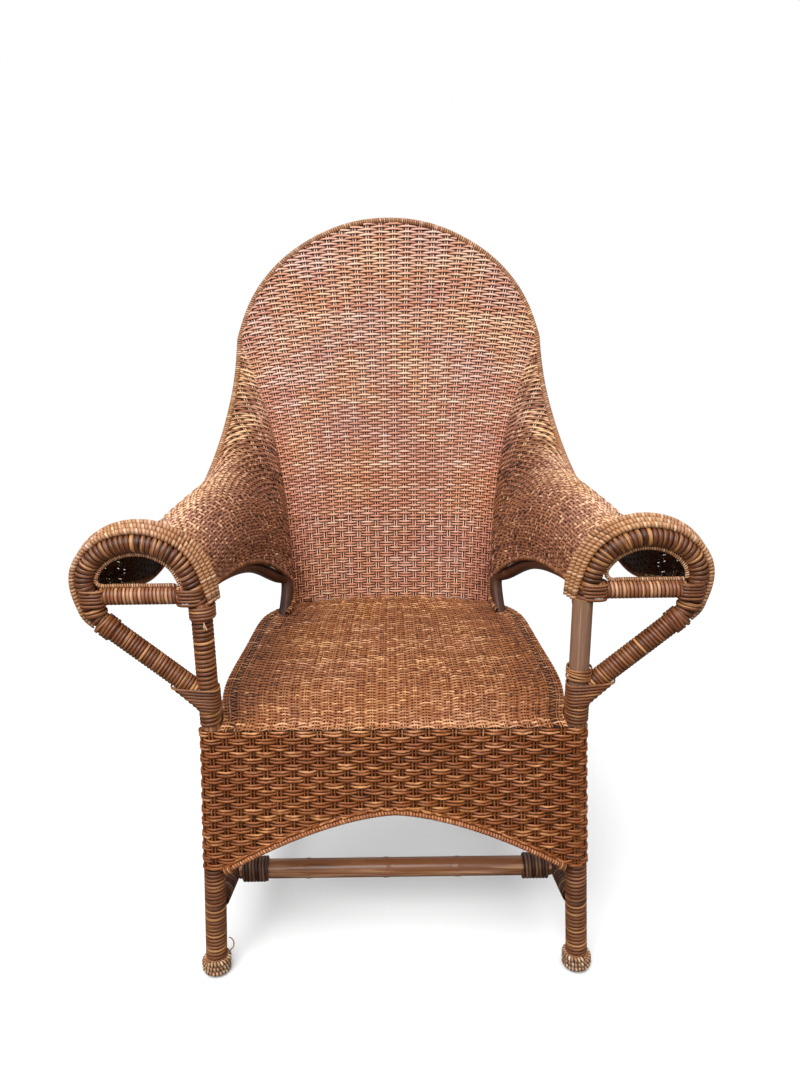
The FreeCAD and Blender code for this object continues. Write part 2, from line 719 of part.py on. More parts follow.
crossBack = size("crossStretcherBack")
crossReach = sideFront.x + sideAlong.x * (crossBack / sideAlong.y)
crossEnds = acrossX(crossReach, crossBack, stretcherHeight)
crossPole = cylinder("cross_stretcher_pole", crossEnds[0], crossEnds[1], "Sizes.crossStretcherDiameter / 2")
crossTools = []
for side in (-1, 1):
    front = FreeCAD.Vector(side * sideFront.x, sideFront.y, sideFront.z)
    back = FreeCAD.Vector(side * sideBack.x, sideBack.y, sideBack.z)
    crossTools.append(cylinder("cross_tool_%d" % side, front, back, "Sizes.sideWrapDiameter / 2 + Sizes.fit"))
cutBy("cross_stretcher", crossPole, crossTools)

# Cane wrapped round both ends of the cross stretcher, clear of the slanting side stretchers.
woundRadius = size("stretcherWrapDiameter") / 2
woundInset = (sideWrapRadius + fit) / sideAlong.y + woundRadius * abs(sideAlong.x / sideAlong.y)
woundStart = crossReach - woundInset
woundEnd = woundStart - size("stretcherWrapLength")
for name, side in (("right", 1), ("left", -1)):
    start = FreeCAD.Vector(side * woundStart, crossBack, stretcherHeight)
    end = FreeCAD.Vector(side * woundEnd, crossBack, stretcherHeight)
    sleeve("cross_stretcher_wrap_" + name, start, end, "stretcherWrapDiameter", "crossStretcherDiameter")

rearEnds = acrossX(sideBack.x, sideBack.y, stretcherHeight)
rearStretcher = straight(rearEnds[0], rearEnds[1], size("rearStretcherDiameter") / 2)
sideSpace = tube([sideFront, sideBack + sideAlong * legRadius], sideWrapRadius + fit, wrapSides)
sideSpaceLeft = sideSpace.mirror(FreeCAD.Vector(0, 0, 0), FreeCAD.Vector(1, 0, 0))
for space in (rearLegSpace, rearLegSpaceLeft, sideSpace, sideSpaceLeft):
    rearStretcher = rearStretcher.cut(space)
addShape("rear_stretcher", max(rearStretcher.Solids, key=lambda solid: solid.Volume))

# Woven back and arms.
stakeUps = 9
hoopTrim = hoopRadius + 2 * fit
borderTrim = borderRadius + 2 * fit
backStations = steps(0, backSpans, 17)
armStations = steps(0, armSpans, 15)
backSeams = {0: seamLeft, backSpans: seamDirection}
addShape("woven_back", skin(backLines, backStations, stakeUps, backSkin, (0, hoopTrim), backSeams))
armSeams = {0: seamDirection}
addPair("woven_arm", skin(armLines, armStations, stakeUps, backSkin, (borderTrim, hoopTrim), armSeams))

# Hoop: one rod from the outer end of one bow, along the arm, round the back and down to the other.
lastSpan = (splineAt(armLines[-1], armSpans) - splineAt(armLines[-1], armSpans - 1)).Length
rodEnd = armSpans - (beadRadius + hoopRadius / 2) / lastSpan
hoopArm = [splineAt(armLines[-1], place) for place in armStations[:-1] + [rodEnd]]
hoopBack = [splineAt(backLines[-1], place) for place in backStations]
edgeSides = 10
hoopLine = mirrored(hoopArm)[:0:-1] + hoopBack[:-1] + hoopArm
addShape("hoop", tube(hoopLine, hoopRadius, edgeSides))

# Border of the armhole: along the arm's lower edge, round its rear end and onto the seat.
borderFirstShare = 0.1667
borderPlaces = steps(borderFirstShare * armSpans, rodEnd, 9)
borderLine = [splineAt(armLines[0], place) for place in borderPlaces]
borderFootShares = [(0.722, 0.865, 0.030), (0.763, 0.811, 0.011)]
borderFoot = [fromShares(share) for share in borderFootShares[::-1]]
addPair("armhole_border", tube(lineThrough(borderFoot + borderLine, 18), borderRadius, edgeSides))

# Arm rail: a bent pole just outside the border, from the front leg to the rear corner of the seat.
armRailRadius = size("armRailDiameter") / 2
railAsideShare = 0.9
railApart = borderRadius + armRailRadius + 3 * fit
railAside = railApart * railAsideShare
railDown = math.sqrt(railApart**2 - railAside**2)
armRailLine = []
armRailShares = [0.8333, 0.6667, 0.5, 0.3333, 0.2333]
for share in armRailShares:
    point = splineAt(armLines[0], share * armSpans)
    armRailLine.append(point + FreeCAD.Vector(railAside, 0, -railDown))
railFootShare = 0.87
railFootAside = armRailRadius + borderRadius / 2
railFoot = seatEdgeAt(railFootShare) + FreeCAD.Vector(railFootAside, 0, railHeight - railRadius)
armRailLine.append(railFoot)
armRailLine.insert(0, FreeCAD.Vector(halfSpan, legRadius, armRailLine[0].z))
armRailPole = tube(lineThrough(armRailLine, 10), armRailRadius)
postWrapRadius = size("postWrapDiameter") / 2
postLow = FreeCAD.Vector(halfSpan, 0, bendTop)
postHigh = FreeCAD.Vector(halfSpan, 0, postTop)
for name, postRadius in (("right", legRadius), ("left", postWrapRadius)):
    post = straight(postLow, postHigh, postRadius + fit)
    armRail = max(armRailPole.cut(post).Solids, key=lambda solid: solid.Volume)
    if name == "left":
        armRail = armRail.mirror(FreeCAD.Vector(0, 0, 0), FreeCAD.Vector(1, 0, 0))
    addShape("arm_rail_" + name, armRail)

# Arm fronts: bow, bar, brace and their wraps.
bowLine = [splineAt(bowPoles, place) for place in steps(0, bowSpans, 12)]
square = 4 * bowRadius
postSquare = FreeCAD.Vector(halfSpan - square / 2, -square / 2, postTop + fit - square)
postTopSpace = Part.makeBox(square, square, square, postSquare)
addPair("arm_bow", tube(bowLine, bowRadius).cut(postTopSpace))

barShare = 0.25
barHeight = postTop + barShare * size("bowRise")


def bowAcross(height, first, last):
    """Where the bow passes a height, between two places."""
    places = steps(first, last, 101)
    best = min(places, key=lambda place: abs(splineAt(bowPoles, place).z - height))
    return splineAt(bowPoles, best)


barWrapRadius = size("barWrapDiameter") / 2
barLevels = (barHeight - barWrapRadius, barHeight, barHeight + barWrapRadius)
barInner = max(bowAcross(level, 0, 2).x for level in barLevels) + bowRadius + fit
barOuter = min(bowAcross(level, bowSpans - 2, bowSpans).x for level in barLevels) - bowRadius - fit
for name, side in (("right", 1), ("left", -1)):
    start = FreeCAD.Vector(side * barInner, 0, barHeight)
    end = FreeCAD.Vector(side * barOuter, 0, barHeight)
    bar = cylinder("arm_bar_" + name, start, end, "Sizes.barDiameter / 2")
    bar.Label = "arm_bar_" + name
    parts.append(bar)
    sleeve("arm_bar_wrap_" + name, start, end, "barWrapDiameter", "barDiameter")

braceTopShares = (1.036, -0.12)
braceTop = FreeCAD.Vector(
    halfSpan + braceTopShares[0] * size("bowWidth"), 0, postTop + braceTopShares[1] * size("bowRise")
)
braceFoot = FreeCAD.Vector(halfSpan, 0, seatHeight + size("braceFootRise"))
braceAlong = (braceTop - braceFoot).normalize()
braceRadius = size("braceDiameter") / 2
braceWrapRadius = size("braceWrapDiameter") / 2
braceBore = [braceFoot - braceAlong * fit, braceTop + braceAlong * fit]
bowSpace = tube(bowLine, bowRadius + fit)
for name, side, postRadius in (("right", 1, legRadius), ("left", -1, postWrapRadius)):
    post = straight(postLow, postHigh, postRadius + fit)
    pole = tube([braceFoot, braceTop], braceRadius, wrapSides).cut(post).cut(bowSpace)
    pole = max(pole.Solids, key=lambda solid: solid.Volume)
    wrap = tube([braceFoot, braceTop], braceWrapRadius, wrapSides).cut(post).cut(bowSpace)
    wrap = max(wrap.Solids, key=lambda solid: solid.Volume)
    wrap = wrap.cut(tube(braceBore, braceRadius + fit, wrapSides))
    if side < 0:
        pole = pole.mirror(FreeCAD.Vector(0, 0, 0), FreeCAD.Vector(1, 0, 0))
        wrap = wrap.mirror(FreeCAD.Vector(0, 0, 0), FreeCAD.Vector(1, 0, 0))
    addShape("arm_brace_" + name, pole)
    addShape("arm_brace_wrap_" + name, wrap)

# Beads round the bow.
beadSides = 8
beadFirstShare = 0.09375
beadLastShare = 0.98125
for number in range(beadCount):
    line = [beadPoint(share * bowSpans, number) for share in steps(beadFirstShare, beadLastShare, 17)]
    addPair("arm_bead_%d" % (number + 1), tube(line, beadRadius, beadSides))

# Bead round the opening: it rests on the bar and turns up round one end, the same way on both arms.
innerBeadRadius = size("innerBeadDiameter") / 2
innerBeadSides = 6
loopFirstShare = 0.19375
loopLastShare = 0.84375
innerAway = bowRadius + 2 * fit + innerBeadRadius
barTop = barHeight + barWrapRadius + fit + innerBeadRadius


def innerBead(roundedOutside):
    """The loop inside the bow, with its rounded lower end outside or inside."""
    loop = []
    for share in steps(loopFirstShare, loopLastShare, 11):
        here, outward = bowSide(share * bowSpans)
        loop.append(here - outward * innerAway)
    first = loop[0].x
    last = loop[-1].x
    span = last - first
    lowShares = [0.94, 0.84, 0.55, 0.2, 0.03] if roundedOutside else [0.97, 0.8, 0.45, 0.16, 0.06]
    low = [FreeCAD.Vector(first + share * span, 0, barTop) for share in lowShares]
    return loop, low


for name, side in (("right", 1), ("left", -1)):
    loop, low = innerBead(side < 0)
    if side < 0:
        path = low[::-1] + loop[::-1]
    else:
        path = low + loop
    shape = tube(lineThrough(path, 19), innerBeadRadius, innerBeadSides)
    if side < 0:
        shape = shape.mirror(FreeCAD.Vector(0, 0, 0), FreeCAD.Vector(1, 0, 0))
    addShape("arm_inner_bead_" + name, shape)

# Cane wraps on the legs: below the apron on both sides, above the seat on the left post alone.
apronLow = seatHeight - size("apronSideDrop")
for name, side in (("right", 1), ("left", -1)):
    low = legAt(size("footBare"))
    high = legAt(apronLow - 4 * fit)
    start = FreeCAD.Vector(side * low.x, 0, low.z)
    end = FreeCAD.Vector(side * high.x, 0, high.z)
    sleeve("front_leg_wrap_" + name, start, end, "legWrapDiameter", "legDiameter")
# Heavy cane coiled twice and a half round each foot.
footCane = (size("footCaneWidth"), size("footCaneThickness"))
legWrapRadius = size("legWrapDiameter") / 2
coilReach = legWrapRadius + fit + footCane[1]
coilFloor = (size("footLift") + footCane[0] / 2 + coilReach * legAlong.x * -1) / legAlong.z
coilTurns = 2.5
coilStart = legAt(coilFloor)
coilPitch = size("footCanePitch")
coil = winding("front_foot_coil", coilStart, legAlong, legWrapRadius, footCane, coilPitch, coilTurns)
coilLeft = coil.mirror(FreeCAD.Vector(0, 0, 0), FreeCAD.Vector(1, 0, 0))
addShape("front_foot_coils", Part.makeCompound([coil, coilLeft]))

wrapLow = FreeCAD.Vector(-halfSpan, 0, seatHeight + seatSkin)
wrapHigh = FreeCAD.Vector(-halfSpan, 0, postTop)
sleeve("post_wrap_left", wrapLow, wrapHigh, "postWrapDiameter", "legDiameter")

# Woven seat, from its front edge to the woven back, dipping a little in the middle.
seatRows = []
for back in steps(0, 1, 13):
    upper = []
    lower = []
    edge = seatEdgeAt(back)
    for across in steps(-1, 1, 9):
        rear = splineAt(backLines[0], backSpans * (1 + across) / 2)
        bowed = (rear.y - edge.y) * back**2
        sag = size("seatSag") * ((1 - across**2) * math.sin(math.pi * back)) ** 2
        middle = FreeCAD.Vector(across * edge.x, edge.y + bowed, seatHeight - sag)
        middle.y = middle.y - (backSkin / 2 + fit) * back
        upper.append(middle + FreeCAD.Vector(0, 0, seatSkin / 2))
        lower.append(middle - FreeCAD.Vector(0, 0, seatSkin / 2))
    seatRows.append((upper, lower))
addShape("woven_seat", thinSolid(seatRows))

# Woven apron: a strip in front of the legs and round them, wider at its foot where the legs splay.


def apronOutline(height, reach, turn):
    """The strip seen from above at one height, its ends bent round the legs."""
    inner = legRadius + fit
    outer = inner + apronSkin

    def corner(side, radius, angle):
        """Point round a leg, turned outwards from straight ahead."""
        return FreeCAD.Vector(side * (reach + radius * math.sin(angle)), -radius * math.cos(angle), height)

    turns = steps(0, turn, apronTurnSteps)
    corners = [corner(1, outer, angle) for angle in turns]
    corners += [corner(1, inner, angle) for angle in turns[::-1]]
    corners += [corner(-1, inner, angle) for angle in turns]
    corners += [corner(-1, outer, angle) for angle in turns[::-1]]
    return Part.makePolygon(corners + corners[:1])


apronTurnAngle = 100
apronTurnSteps = 7
apronTurn = math.radians(apronTurnAngle)
apronTop = seatHeight - seatSkin / 2 - fit
apronMid = seatHeight - size("apronMidDrop")
archPower = 1.6
archHalf = legAt(apronLow).x - legRadius


def archHeight(x):
    """Height of the apron's lower edge at a distance from the mid-plane."""
    return apronMid - (apronMid - apronLow) * min(1, abs(x) / archHalf) ** archPower


apronStrip = Part.makeLoft(
    [
        apronOutline(apronTop, halfSpan, apronTurn),
        apronOutline(bendTop, halfSpan, apronTurn),
        apronOutline(apronLow, legAt(apronLow).x, apronTurn),
    ],
    True,
    True,
)
archPoints = [FreeCAD.Vector(x, 0, archHeight(x)) for x in steps(-archHalf, archHalf, 13)]
archCurve = Part.BSplineCurve()
archCurve.interpolate(archPoints)
drop = FreeCAD.Vector(0, 0, apronMid - apronLow)
archFace = Part.Face(
    Part.Wire([
        archCurve.toShape(),
        Part.makeLine(archPoints[-1], archPoints[-1] - drop),
        Part.makeLine(archPoints[-1] - drop, archPoints[0] - drop),
        Part.makeLine(archPoints[0] - drop, archPoints[0]),
    ])
)
archDepth = FreeCAD.Vector(0, 4 * legRadius, 0)
archFace.translate(archDepth / -2)
apron = apronStrip.cut(archFace.extrude(archDepth))
apron = max(apron.Solids, key=lambda solid: solid.Volume)
addShape("woven_apron", apron)

# Rod under the apron's arched edge, with a wrapped tie at each end.
apronBorderRadius = size("apronBorderDiameter") / 2
apronMiddle = -(legRadius + fit + apronSkin / 2)
rodReach = archHalf - fit - size("tieWall")
rodLine = []
for x in steps(-rodReach, rodReach, 15):
    step = fit
    slope = (archHeight(x + step) - archHeight(x - step)) / (2 * step)
    down = FreeCAD.Vector(slope, 0, -1).normalize() * (apronBorderRadius + 2 * fit)
    rodLine.append(FreeCAD.Vector(x, apronMiddle, archHeight(x)) + down)
addShape("apron_border", tube(rodLine, apronBorderRadius, edgeSides))
tieAlong = (rodLine[1] - rodLine[0]).normalize()
tieStart = rodLine[0]
tieRadius = apronBorderRadius + 2 * fit
tieEnd = tieStart + tieAlong * size("tieLength")
tieBore = tube([tieStart - tieAlong * fit, tieEnd + tieAlong * fit], tieRadius, edgeSides)
tie = tube([tieStart, tieEnd], tieRadius + size("tieWall"), edgeSides).cut(tieBore).cut(apron)
addPair("apron_border_tie", tie)

# Checks before anything is written.
doc.recompute()
failed = [item.Name for item in doc.Objects if "Invalid" in item.State or "Error" in item.State]
if failed:
    raise RuntimeError("failed features: " + ", ".join(failed))
for item in parts:
    if item.Shape.isNull() or not item.Shape.isValid():
        raise RuntimeError("bad shape: " + item.Label)
    if not item.Shape.Solids:
        raise RuntimeError("no solid: " + item.Label)

os.makedirs("parts", exist_ok=True)
for item in parts:
    item.Shape.exportStep(os.path.join("parts", item.Label + ".step"))
whole = Part.makeCompound([item.Shape for item in parts])
box = whole.BoundBox
print("pieces", len(parts), "solids", len(whole.Solids))
print("box %.1f %.1f %.1f to %.1f %.1f %.1f" % (box.XMin, box.YMin, box.ZMin, box.XMax, box.YMax, box.ZMax))
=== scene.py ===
import math
import bmesh
import bpy
import numpy as np
from mathutils import Matrix


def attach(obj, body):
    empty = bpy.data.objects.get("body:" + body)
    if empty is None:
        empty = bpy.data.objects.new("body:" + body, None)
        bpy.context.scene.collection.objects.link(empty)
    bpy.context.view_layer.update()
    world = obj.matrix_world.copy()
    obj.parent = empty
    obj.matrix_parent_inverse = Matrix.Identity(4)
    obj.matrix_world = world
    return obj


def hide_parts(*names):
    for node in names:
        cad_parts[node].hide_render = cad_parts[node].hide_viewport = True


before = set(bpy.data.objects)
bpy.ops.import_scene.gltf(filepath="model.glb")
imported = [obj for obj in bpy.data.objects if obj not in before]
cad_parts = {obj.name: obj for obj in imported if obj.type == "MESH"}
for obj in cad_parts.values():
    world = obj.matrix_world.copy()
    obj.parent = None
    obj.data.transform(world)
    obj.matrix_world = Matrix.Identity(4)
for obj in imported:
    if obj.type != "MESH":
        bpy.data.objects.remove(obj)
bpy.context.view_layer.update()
chance = np.random.default_rng(11)
scene = bpy.context.scene
# Each hand, and whether its pieces are mirrored: +X is the chair's right.
hands = (("right", False), ("left", True))
print("frame loaded")

# Sizes shared with the CAD source, in metres, with the front legs on y = 0.
chair = {"back": 0.301265, "halfSpan": 0.2405, "seatDepth": 0.460, "seatHeight": 0.396, "backRise": 0.666,
         "postTop": 0.556, "bowWidth": 0.123, "bowRise": 0.092, "legRadius": 0.012, "fit": 0.0003,
         "footSpan": 0.261, "bendTop": 0.374, "bendRadius": 0.420}
halfSpan = chair["halfSpan"]
toRow = np.array([0, -chair["back"], 0])
# Contours of the back and of one arm, as shares of the half span, the seat's depth and the back's rise.
backShares = [
    [(0, 1.017, -0.003), (0.258, 1.013, -0.003), (0.499, 1.000, -0.003), (0.665, 0.974, -0.003),
     (0.740, 0.952, -0.003)],
    [(0, 1.078, 0.224), (0.262, 1.074, 0.216), (0.516, 1.059, 0.201), (0.682, 1.035, 0.179),
     (0.765, 1.013, 0.156)],
    [(0, 1.159, 0.479), (0.274, 1.152, 0.464), (0.549, 1.130, 0.426), (0.732, 1.102, 0.374),
     (0.815, 1.080, 0.329)],
    [(0, 1.248, 0.742), (0.316, 1.241, 0.719), (0.632, 1.220, 0.667), (0.848, 1.191, 0.584),
     (0.935, 1.167, 0.517)],
    [(0, 1.348, 1), (0.374, 1.341, 0.979), (0.757, 1.318, 0.905), (1.010, 1.286, 0.800),
     (1.127, 1.253, 0.694)],
]
armShares = [
    [(0.740, 0.952, -0.003), (0.732, 0.913, 0.064), (0.786, 0.859, 0.114), (0.881, 0.707, 0.177),
     (0.956, 0.435, 0.230), (0.981, 0.207, 0.254)],
    [(0.765, 1.013, 0.156), (0.778, 0.983, 0.186), (0.832, 0.913, 0.224), (0.906, 0.728, 0.269),
     (0.973, 0.446, 0.303), (1.019, 0.207, 0.326)],
    [(0.815, 1.080, 0.329), (0.861, 1.043, 0.314), (0.951, 0.967, 0.327), (1.044, 0.750, 0.359),
     (1.156, 0.457, 0.372), (1.234, 0.207, 0.372)],
    [(0.935, 1.167, 0.517), (1.002, 1.113, 0.445), (1.116, 0.989, 0.399), (1.246, 0.761, 0.375),
     (1.373, 0.461, 0.343), (1.446, 0.207, 0.332)],
    [(1.127, 1.253, 0.694), (1.164, 1.174, 0.558), (1.255, 0.983, 0.406), (1.366, 0.750, 0.296),
     (1.443, 0.467, 0.228), (1.472, 0.207, 0.248)],
]
borderFootShares = [(0.763, 0.811, 0.011), (0.722, 0.865, 0.030)]
# The bow's own shares of its width and rise, and the places on it where the arm's contours end.
bowShares = [(0, 0), (0.065, 0.35), (0.170, 0.700), (0.380, 0.925), (0.630, 1), (0.907, 0.913),
             (1.110, 0.674), (1.163, 0.391), (1.110, 0.090)]
bowContourPlaces = [1.0, 2.2, 4.0, 6.0, 7.35]
# The seat's edge, from front to back: shares of the seat's depth and of the half span.
seatEdgeShares = [(-0.034, 0.944), (0.026, 0.944), (0.080, 0.985), (0.185, 1.010), (0.359, 0.984),
                  (0.524, 0.962), (0.685, 0.917), (0.835, 0.805), (0.952, 0.740)]


# Smooth lines, as in the CAD source.
def splinePoles(points):
    points = np.asarray(points, float)
    rows = np.eye(len(points))
    for i in range(1, len(points) - 1):
        rows[i, i - 1:i + 2] = 1 / 6, 4 / 6, 1 / 6
    return np.linalg.solve(rows, points)


def splineAt(poles, places):
    last = len(poles) - 1
    longer = np.concatenate([2 * poles[:1] - poles[1:2], poles, 2 * poles[-1:] - poles[-2:-1]])
    places = np.atleast_1d(np.asarray(places, float))
    stretch = np.clip(places.astype(int), 0, last - 1)
    part = (places - stretch)[:, None]
    rest = 1 - part
    near = longer[stretch + 1] * (3 * part**3 - 6 * part**2 + 4)
    far = longer[stretch + 2] * (3 * rest**3 - 6 * rest**2 + 4)
    return (longer[stretch] * rest**3 + near + far + longer[stretch + 3] * part**3) / 6


def unit(vectors):
    return vectors / np.maximum(np.linalg.norm(vectors, axis=-1, keepdims=True), 1e-12)


def blend(value, low, high):
    share = np.clip((value - low) / (high - low), 0, 1)
    return share * share * (3 - 2 * share)


def fromShares(share):
    height = chair["seatHeight"] + share[2] * chair["backRise"]
    return (share[0] * halfSpan, share[1] * chair["seatDepth"], height)


def smooth(points, count):
    return splineAt(splinePoles(points), np.linspace(0, len(points) - 1, count))


def lengthsAlong(points):
    return np.concatenate([[0], np.cumsum(np.linalg.norm(np.diff(points, axis=0), axis=1))])


def evenly(points, step):
    lengths = lengthsAlong(points)
    marks = np.linspace(0, lengths[-1], max(2, int(round(lengths[-1] / step)) + 1))
    return np.stack([np.interp(marks, lengths, points[:, k]) for k in range(3)], axis=1)


def mirrored(points):
    return points * np.array([-1, 1, 1])


# The bow lies in the plane of the front legs. Fine rods lie side by side over its outer side.
rods = {"outside": 0.0153, "pitch": 0.0078, "behind": -0.0005625, "climb": 40, "climbAtPost": 0.35,
        "cover": 0.00655, "from": 0.08, "endShort": 0.05}
bowPoles = splinePoles([(halfSpan + a * chair["bowWidth"], 0, chair["postTop"] + b * chair["bowRise"])
                        for a, b in bowShares])
bowSpans = len(bowShares) - 1


def bowSide(places):
    nudge = 0.01
    ahead = splineAt(bowPoles, np.minimum(np.asarray(places) + nudge, bowSpans))
    behind = splineAt(bowPoles, np.maximum(np.asarray(places) - nudge, 0))
    along = unit(ahead - behind)
    return splineAt(bowPoles, places), np.stack([-along[:, 2], np.zeros(len(along)), along[:, 0]], axis=1)


def rodPath(places, number):
    here, outward = bowSide(places)
    climb = math.radians(rods["climb"]) * (1 - ((1 + outward[:, :1]) / 2) ** 2)
    fromPost = np.clip(np.asarray(places)[:, None], 0, 1)
    climb = climb * (rods["climbAtPost"] + (1 - rods["climbAtPost"]) * fromPost)
    away = rods["outside"] + number * rods["pitch"] * np.sin(climb)
    back = rods["behind"] + number * rods["pitch"] * np.cos(climb)
    return here + outward * away + back * np.array([[0, 1, 0]]), outward


backLines = []
for line in backShares:
    leftHalf = [fromShares((-share[0], share[1], share[2])) for share in line[:0:-1]]
    backLines.append(splinePoles(leftHalf + [fromShares(share) for share in line]))
armLines = []
for line, place in zip(armShares, bowContourPlaces):
    rod, outward = rodPath([place], 2)
    end = tuple(rod[0] - outward[0] * rods["cover"])
    armLines.append(splinePoles([fromShares(share) for share in line] + [end]))
backSpans = len(backLines[0]) - 1
armSpans = len(armLines[0]) - 1


# Everything is swept along strands: points, their outer side, and values for the look of the cane.
def strand(points, outward, tone=0.5, swell=1.0, tint=0.5, wave=0.0, closed=False):
    points = np.asarray(points, float)
    outward = np.broadcast_to(np.asarray(outward, float), points.shape)
    if closed:
        along = unit(np.roll(points, -1, axis=0) - np.roll(points, 1, axis=0))
    else:
        along = unit(np.gradient(points, axis=0))
    outward = unit(outward - along * (outward * along).sum(axis=1, keepdims=True))
    made = {"points": points, "outward": outward, "closed": closed}
    for label, value in (("tone", tone), ("swell", swell), ("tint", tint), ("wave", wave)):
        made[label] = np.broadcast_to(value, len(points))
    return made


# An outer side for each point of a round cane, turned as little as it can be from the last one.
def sideways(points):
    side = np.array([0.3, 1, 0.2])
    found = []
    for direction in unit(np.gradient(points, axis=0)):
        side = side - direction * (side @ direction)
        side = side / np.linalg.norm(side)
        found.append(side)
    return np.array(found)


def pathObject(name, strands, mirror=False):
    mesh = bpy.data.meshes.new(name)
    points = np.concatenate([s["points"] for s in strands]) + toRow
    outward = np.concatenate([s["outward"] for s in strands])
    if mirror:
        points, outward = mirrored(points), mirrored(outward)
    edges = []
    start = 0
    for s in strands:
        end = start + len(s["points"])
        index = np.arange(start, end - 1)
        edges.append(np.stack([index, index + 1], axis=1))
        if s["closed"]:
            edges.append(np.array([[end - 1, start]]))
        start = end
    edges = np.concatenate(edges)
    mesh.vertices.add(len(points))
    mesh.vertices.foreach_set("co", points.astype(np.float32).ravel())
    mesh.edges.add(len(edges))
    mesh.edges.foreach_set("vertices", edges.astype(np.int32).ravel())
    layer = mesh.attributes.new("outward", "FLOAT_VECTOR", "POINT")
    layer.data.foreach_set("vector", outward.astype(np.float32).ravel())
    for label in ("tone", "swell", "tint", "wave"):
        layer = mesh.attributes.new(label, "FLOAT", "POINT")
        layer.data.foreach_set("value", np.concatenate([s[label] for s in strands]).astype(np.float32))
    mesh.update()
    return placed(name, mesh)


def placed(name, data):
    item = bpy.data.objects.new(name, data)
    scene.collection.objects.link(item)
    return item


# Nodes for any tree: each socket takes a link or a plain value.
def fill(tree, node, sockets):
    for slot, value in dict(sockets).items():
        if isinstance(value, bpy.types.NodeSocket):
            tree.links.new(value, node.inputs[slot])
        else:
            node.inputs[slot].default_value = value
    return node.outputs


def put(tree, kind, sockets=(), **settings):
    node = tree.nodes.new(kind)
    for key, value in settings.items():
        setattr(node, key, value)
    return fill(tree, node, sockets)


def calc(tree, operation, *values, clamp=False):
    return put(tree, "ShaderNodeMath", dict(enumerate(values)), operation=operation, use_clamp=clamp)[0]


def vectorCalc(tree, operation, sockets):
    return put(tree, "ShaderNodeVectorMath", sockets, operation=operation)


def newGroup(name, kind, inputs, outputs):
    tree = bpy.data.node_groups.new(name, kind)
    for way, sockets in (("INPUT", inputs), ("OUTPUT", outputs)):
        for label, value in sockets.items():
            tree.interface.new_socket(label, in_out=way, socket_type="NodeSocket" + value)
    return tree, put(tree, "NodeGroupInput")


# Node trees that turn paths into cane.
def marked(tree, label, kind="FLOAT"):
    return put(tree, "GeometryNodeInputNamedAttribute", {"Name": label}, data_type=kind)["Attribute"]


def store(tree, shape, label, value):
    sockets = {"Geometry": shape, "Name": label, "Value": value}
    return put(tree, "GeometryNodeStoreNamedAttribute", sockets, data_type="FLOAT", domain="POINT")[0]


def facing(tree, curve, direction):
    return put(tree, "GeometryNodeSetCurveNormal", {"Curve": curve, "Normal": direction}, mode="FREE")[0]


def lengthOn(tree):
    return put(tree, "GeometryNodeSplineParameter")["Length"]


# An oval section, which remembers its own sides and its crown.
def section(tree, width, thickness, sides):
    circle = put(tree, "GeometryNodeCurvePrimitiveCircle", {"Resolution": sides, "Radius": 1})[0]
    place = put(tree, "ShaderNodeSeparateXYZ", {0: put(tree, "GeometryNodeInputPosition")[0]})
    circle = store(tree, store(tree, circle, "across", place["Y"]), "crown", place["X"])
    halves = {"X": calc(tree, "MULTIPLY", thickness, 0.5), "Y": calc(tree, "MULTIPLY", width, 0.5), "Z": 1}
    size = put(tree, "ShaderNodeCombineXYZ", halves)[0]
    return put(tree, "GeometryNodeTransform", {"Geometry": circle, "Scale": size})[0]


def sweep(tree, curve, profile, scale=1.0):
    sockets = {"Curve": curve, "Profile Curve": profile, "Scale": scale, "Fill Caps": True}
    return put(tree, "GeometryNodeCurveToMesh", sockets)[0]


def finishTree(tree, shape, material):
    shape = put(tree, "GeometryNodeSetShadeSmooth", {"Geometry": shape})[0]
    shape = put(tree, "GeometryNodeRealizeInstances", {0: shape})[0]
    shape = put(tree, "GeometryNodeSetMaterial", {"Geometry": shape, "Material": material})[0]
    put(tree, "NodeGroupOutput", {0: shape})


def pathTree(name, sizes):
    inputs = {"Paths": "Geometry", "Width": "Float", "Thickness": "Float", "Sides": "Int", **sizes,
              "Material": "Material"}
    tree, given = newGroup(name, "GeometryNodeTree", inputs, {"Geometry": "Geometry"})
    curve = put(tree, "GeometryNodeMeshToCurve", {0: given["Paths"]})[0]
    return tree, given, facing(tree, curve, marked(tree, "outward", "FLOAT_VECTOR"))


def sweptTree():
    tree, given, curve = pathTree("caneOnPaths", {})
    curve = store(tree, curve, "along", lengthOn(tree))
    profile = section(tree, given["Width"], given["Thickness"], given["Sides"])
    finishTree(tree, sweep(tree, curve, profile, marked(tree, "swell")), given["Material"])
    return tree


